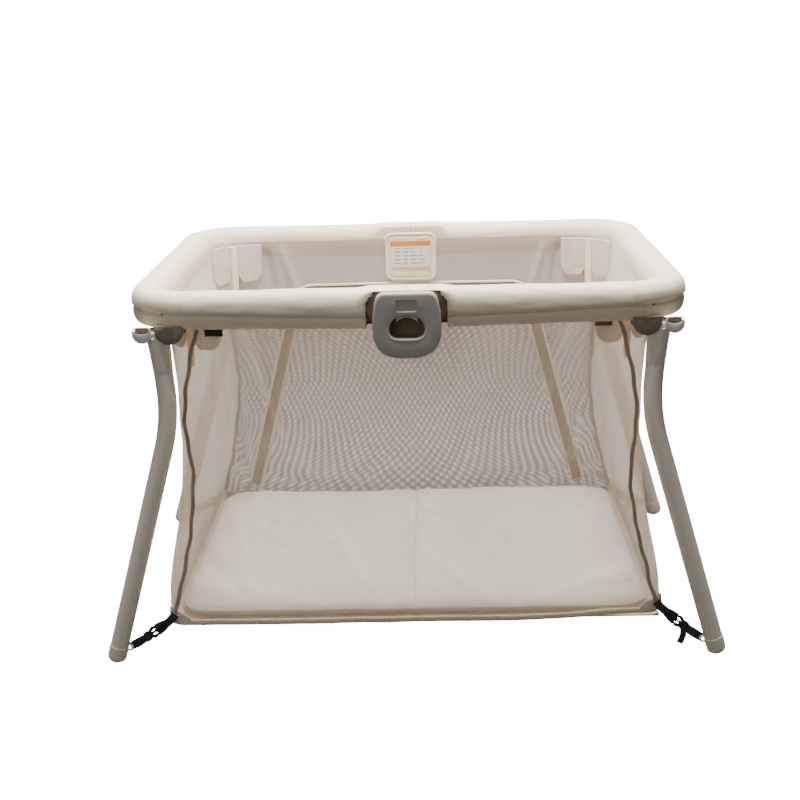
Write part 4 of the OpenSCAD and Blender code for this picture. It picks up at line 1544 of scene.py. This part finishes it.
def tag(side, wide, tall, cloth):
    """A small folded woven tag under the rail, by the corner."""
    def rule(u, v):
        x = -(edge_x(0.64) - 0.0185) + wide * u
        z = RAIL_FOOT + 0.0015 - (tall + 0.0085) * (1 - v)
        return Vector((side * x, -WALL_Y - 0.0034 - 0.0008 * math.sin(math.pi * u), z))

    return cloth_grid("tag", 10, 8, rule, (wide, tall), cloth, 0.0009)


brown_webbing = woven_cloth("tag_brown", (0.20, 0.145, 0.095), 0.0011)


def zip_line(s):
    """The zip's line on the rear wall, from its foot up and over to the middle."""
    foot = Vector((0.3965, 0.108))
    shoulder = Vector((0.2835, 0.532))
    over = Vector((0.2270, 0.5865))
    rise = (shoulder - foot).length
    bend = 0.086
    if s < rise:
        return foot.lerp(shoulder, s / rise), (shoulder - foot).normalized()
    s -= rise
    if s < bend:
        t = s / bend
        knob = Vector((0.2715, 0.584))
        at = shoulder * (1 - t) ** 2 + knob * 2 * t * (1 - t) + over * t * t
        ahead = (knob - shoulder) * (1 - t) + (over - knob) * t
        return at, ahead.normalized()
    s -= bend
    return over + Vector((-s, 0.00)), Vector((-1, 0))


ZIP_LENGTH = 0.4388 + 0.086 + 0.2270


def zip_strip(side, inner, outer, lift, cloth, crown=0.0, steps=190):
    """A strip beside the zip's line, between two distances from it."""
    def rule(u, v):
        at, ahead = zip_line(v * ZIP_LENGTH)
        across = Vector((ahead.y, -ahead.x))
        place = at + across * blend_between(inner, outer, u)
        wander = noise.noise(Vector((place.x * 6, place.y * 6, 4.0))) * 0.0012
        sag = 0.0040 * math.sin(math.pi * min(1, v))
        y = WALL_Y - 0.0026 - lift - crown * math.sin(math.pi * u) - sag + wander
        return Vector((-side * max(0.0, place.x), y, place.y))

    return cloth_grid("zip_strip", 6, steps, rule, (abs(outer - inner), ZIP_LENGTH), cloth, 0.0009)


for side in (1, -1):
    word = side_name(side)
    hem = tube_from(f"hem_{word}", 420, 16, hem_rule(side), hem_cloth)
    parts = [hem]
    for face in (-1, 1):
        parts.append(seam_tape(side, face))
        parts.append(bottom_patch(side, face))
        parts += corner_facing(side, face)
    if side > 0:
        parts.append(tag(side, 0.034, 0.016, black_webbing))
    else:
        parts.append(tag(side, 0.031, 0.011, brown_webbing))
    parts.append(zip_strip(side, -0.0225, -0.0005, 0.0, zip_cloth, 0.0006))
    parts.append(zip_strip(side, 0.0005, 0.0052, 0.0006, hem_cloth, 0.0016))
    parts.append(zip_strip(side, -0.0262, -0.0225, 0.0004, hem_cloth, 0.0010))
    trim = join(parts, f"bag_trim_cloth_{word}")
    weld(trim, 1e-7)
    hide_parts(f"bag_trim_{word}")
    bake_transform(trim)
    print(trim.name, len(trim.data.polygons))

# %% [markdown]
# ## Straps and buckles
# From each foot a webbing strap pulls the bag's corner down and out. A side-release buckle
# joins its two halves: the plug stays with the leg, and the socket with the bag.

# %% Strap lines
STRAP_WIDE = 0.0165


# Where the buckle's middle is, as a share of the way from the foot to the bag.
BUCKLE_SHARE = 0.47


def strap_ends(leg):
    """Where the strap leaves the foot ring and where it meets the bag, on the left front."""
    foot = Vector((FOOT.x - 0.0275, -(LEG_Y - 0.0005), 0.0285))
    bag = Vector((HEM_X - 0.006, -(WALL_Y + 0.0055), NET_FOOT + 0.012))
    if leg == "fr":
        bag.z += 0.012
    return foot, bag


def band(name, points, width, thickness, cloth, leg, face_out=(0.0, -1.0, 0.0)):
    """A strap along points, flat to the front."""
    side, face = corner_signs(leg)
    run = [Vector(p) for p in points]
    lengths = [0.0]
    for a, b in zip(run, run[1:]):
        lengths.append(lengths[-1] + (b - a).length)
    total = lengths[-1]

    def at(s):
        for i in range(len(run) - 1):
            if s <= lengths[i + 1] or i == len(run) - 2:
                share = (s - lengths[i]) / (lengths[i + 1] - lengths[i])
                return run[i].lerp(run[i + 1], share)

    def soft(s):
        near = [at(min(total, max(0.0, s + d))) for d in (-0.004, 0.0, 0.004)]
        return (near[0] + near[1] * 2 + near[2]) / 4

    def rule(u, v):
        s = v * total
        here = soft(s)
        ahead = (soft(min(total, s + 0.002)) - soft(max(0.0, s - 0.002))).normalized()
        wide = ahead.cross(Vector(face_out)).normalized()
        point = here + wide * width * (u - 0.5)
        return Vector((side * point.x, -face * point.y, point.z))

    return cloth_grid(name, 8, max(12, int(total / 0.0012)), rule, (width, total),
                      cloth, thickness)


def oriented(place, ahead, leg):
    """Turns a flat drawing in x and z to lie along a strap."""
    side, face = corner_signs(leg)
    out = Vector((0, -1, 0))
    up = ahead.cross(out).normalized()
    out = up.cross(ahead).normalized()

    def put(piece):
        for vertex in piece.data.vertices:
            x, y, z = vertex.co
            point = place + ahead * x + out * (-y) + up * z
            vertex.co = (side * point.x, -face * point.y, point.z)
        close_holes(piece)
        return piece

    return put


# Outlines of the two halves of a buckle in mm, along the strap and across it.
SOCKET = ((-12.5, -9.5), (-12.5, -6.5), (-8.5, -6.0), (-8.5, -4.2), (-13, -3.6), (-13, 3.6),
          (-8.5, 4.2), (-8.5, 6.0), (-12.5, 6.5), (-12.5, 9.5), (-8, 11.2), (2, 10.6),
          (9, 8.8), (12.5, 8.2), (12.5, -8.2), (9, -8.8), (2, -10.6), (-8, -11.2))
PLUG = ((-12, -9.4), (-12, 9.4), (-4, 9.8), (1, 8.0), (1, 9.8), (6, 11.6), (10.5, 11.9),
        (12, 9.6), (12, 7.0), (4.5, 4.8), (4.5, 1.6), (14, 1.2), (14, -1.2), (4.5, -1.6),
        (4.5, -4.8), (12, -7.0), (12, -9.6), (10.5, -11.9), (6, -11.6), (1, -9.8),
        (1, -8.0), (-4, -9.8))
BAR = ((-1.6, -8.6), (1.6, -8.6), (1.6, 8.6), (-1.6, 8.6))


def mm(points):
    """Points in millimetres, given in metres."""
    return [(x / 1000, z / 1000) for x, z in points]


def shifted(at, *shifts):
    """The same place, moved by each of the shifts."""
    return [at + Vector(shift) for shift in shifts]


for leg in LEGS:
    foot, bag = strap_ends(leg)
    ahead = (bag - foot).normalized()
    plug_at = foot.lerp(bag, BUCKLE_SHARE) + Vector((0, 0, -0.0024))
    near = plug_at - ahead * 0.010
    half_way = foot.lerp(near, 0.5)
    plug = slab("plug", mm(PLUG), -0.0034, 0.0034, black_plastic, 0.0010, 3)
    bar = slab("bar", mm(BAR), -0.0052, 0.0, black_plastic, 0.0008, 2)
    front_line = (foot + Vector((0.003, 0, -0.001)), half_way + Vector((0, -0.0022, 0.0012)),
                  near + Vector((0, -0.0028, 0)), near + ahead * 0.006 + Vector((0, -0.0050, 0)))
    back_line = (foot + Vector((0.003, 0.001, -0.002)), half_way + Vector((0, 0.0022, -0.0036)),
                 near + Vector((0, 0.0022, -0.001)), near + ahead * 0.008 + Vector((0, 0.0046, 0)))
    parts = [
        oriented(plug_at, ahead, leg)(plug),
        oriented(plug_at - ahead * 0.008, ahead, leg)(bar),
        band("strap", front_line, STRAP_WIDE, 0.0013, black_webbing, leg),
        band("strap", back_line, STRAP_WIDE * 0.92, 0.0013, black_webbing, leg),
    ]
    if leg[1] == "r":
        hang = near + ahead * 0.006 + Vector((0, -0.0058, -0.006))
        tail_line = shifted(hang, (0, 0, 0), (-0.0006, -0.001, -0.012),
                            (-0.0045, -0.001, -0.024), (-0.0078, 0.001, -0.030))
        parts.append(band("tail", tail_line, 0.0125, 0.0016, black_webbing, leg))
    strap = join(parts, f"leg_strap_{leg}")
    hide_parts(f"foot_strap_{leg}")
    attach(strap, body_of_node(f"foot_strap_{leg}"))
print("straps ready", [round(v, 3) for v in foot], [round(v, 3) for v in bag])

# %% Sockets and bag straps
for side_word in SIDES:
    sockets, short = [], []
    for leg in [name for name in LEGS if name[1] == side_word[0]]:
        foot, bag = strap_ends(leg)
        ahead = (bag - foot).normalized()
        at = foot.lerp(bag, BUCKLE_SHARE) + Vector((0, 0, -0.0024)) + ahead * 0.0235
        shell = slab("socket", mm(SOCKET), -0.0046, 0.0046, black_plastic, 0.0016, 4)
        sockets.append(oriented(at, ahead, leg)(shell))
        line = (at + ahead * 0.008, at + ahead * 0.016, bag, bag + Vector((-0.006, 0.0035, 0.008)))
        short.append(band("strap", line, STRAP_WIDE, 0.0014, black_webbing, leg))
    socket = join(sockets, f"buckles_{side_word}")
    shade_hard(socket)
    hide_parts(f"buckle_sockets_{side_word}")
    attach(socket, f"floor_{side_word}")
    pulls = join(short, f"bag_pulls_{side_word}")
    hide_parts(f"bag_straps_{side_word}")
    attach(pulls, f"floor_{side_word}")
    print(socket.name, pulls.name)

# %% [markdown]
# ## Label patch and zip slider
# The patch on the far rail is a quilted pad with a piped border. Its care label keeps only
# plain bands: a coloured head and rows of grey, with no lettering.

# %% Patch and slider
PATCH_X = patch_hi.x
PATCH_MID = (patch_lo.z + patch_hi.z) / 2
PATCH_HALF = (patch_hi.z - patch_lo.z) / 2


def label_cloth():
    """The care label: a coloured band on top and rows of plain grey dashes."""
    finish = Finish("care_label", (0.72, 0.70, 0.66), 0.8)
    u, v, _ = finish.parts(finish.cloth_place())
    head = v > 0.79
    rows = (v * 7.2).saw(1.0) < 0.34
    breaks = (u * 5.0 + finish.noise(finish.place(), 120.0)).saw(1.0) < 0.72
    inside = ((u - 0.5).size() < 0.42) * (v < 0.72) * (v > 0.08)
    grey = finish.mix(rows * breaks * inside, rgba((0.72, 0.70, 0.66)), rgba((0.30, 0.29, 0.28)))
    return finish.use(Base_Color=finish.mix(head, grey, rgba((0.60, 0.22, 0.05))))


def patch_rule(u, v):
    """A quilted pad: puffed inside, with a piped border."""
    a, b = 2 * u - 1, 2 * v - 1
    x, z = rounded_square(a, b, PATCH_X, PATCH_HALF, 0.018)
    rim = max(abs(a), abs(b))
    puff = 0.0040 * (1 - smooth_step(rim, 0.80, 0.93))
    quilt = 0.0016 * abs(math.sin((x + z) * 62)) ** 0.6 * abs(math.sin((x - z) * 62)) ** 0.6
    piping = 0.0036 * math.exp(-((rim - 0.955) / 0.030) ** 2)
    quilt *= 1 - smooth_step(rim, 0.75, 0.88)
    return Vector((x, patch_hi.y - 0.0020 - puff * 0.6 - quilt - piping, PATCH_MID + z))


def label_rule(u, v):
    """The care label, bowed a little, on the front of the pad."""
    y = patch_hi.y - 0.0072 - 0.0006 * math.sin(math.pi * u)
    return Vector(((u - 0.5) * 0.090, y, PATCH_MID + 0.006 + (v - 0.5) * 0.062))


patch = cloth_grid("patch_pad", 110, 110, patch_rule, (2 * PATCH_X, 2 * PATCH_HALF),
                   hem_cloth, 0.0016)
label = cloth_grid("care_label", 20, 20, label_rule, (1, 1), label_cloth(), 0.0007)
patch = join([patch, label], "patch_pad")
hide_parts("label_patch")
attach(patch, "centre_hubs")
rounded_copy("zip_slider", steel, 0.0006, 2)
print("patch", len(patch.data.polygons))

# %% Finish
deselect()
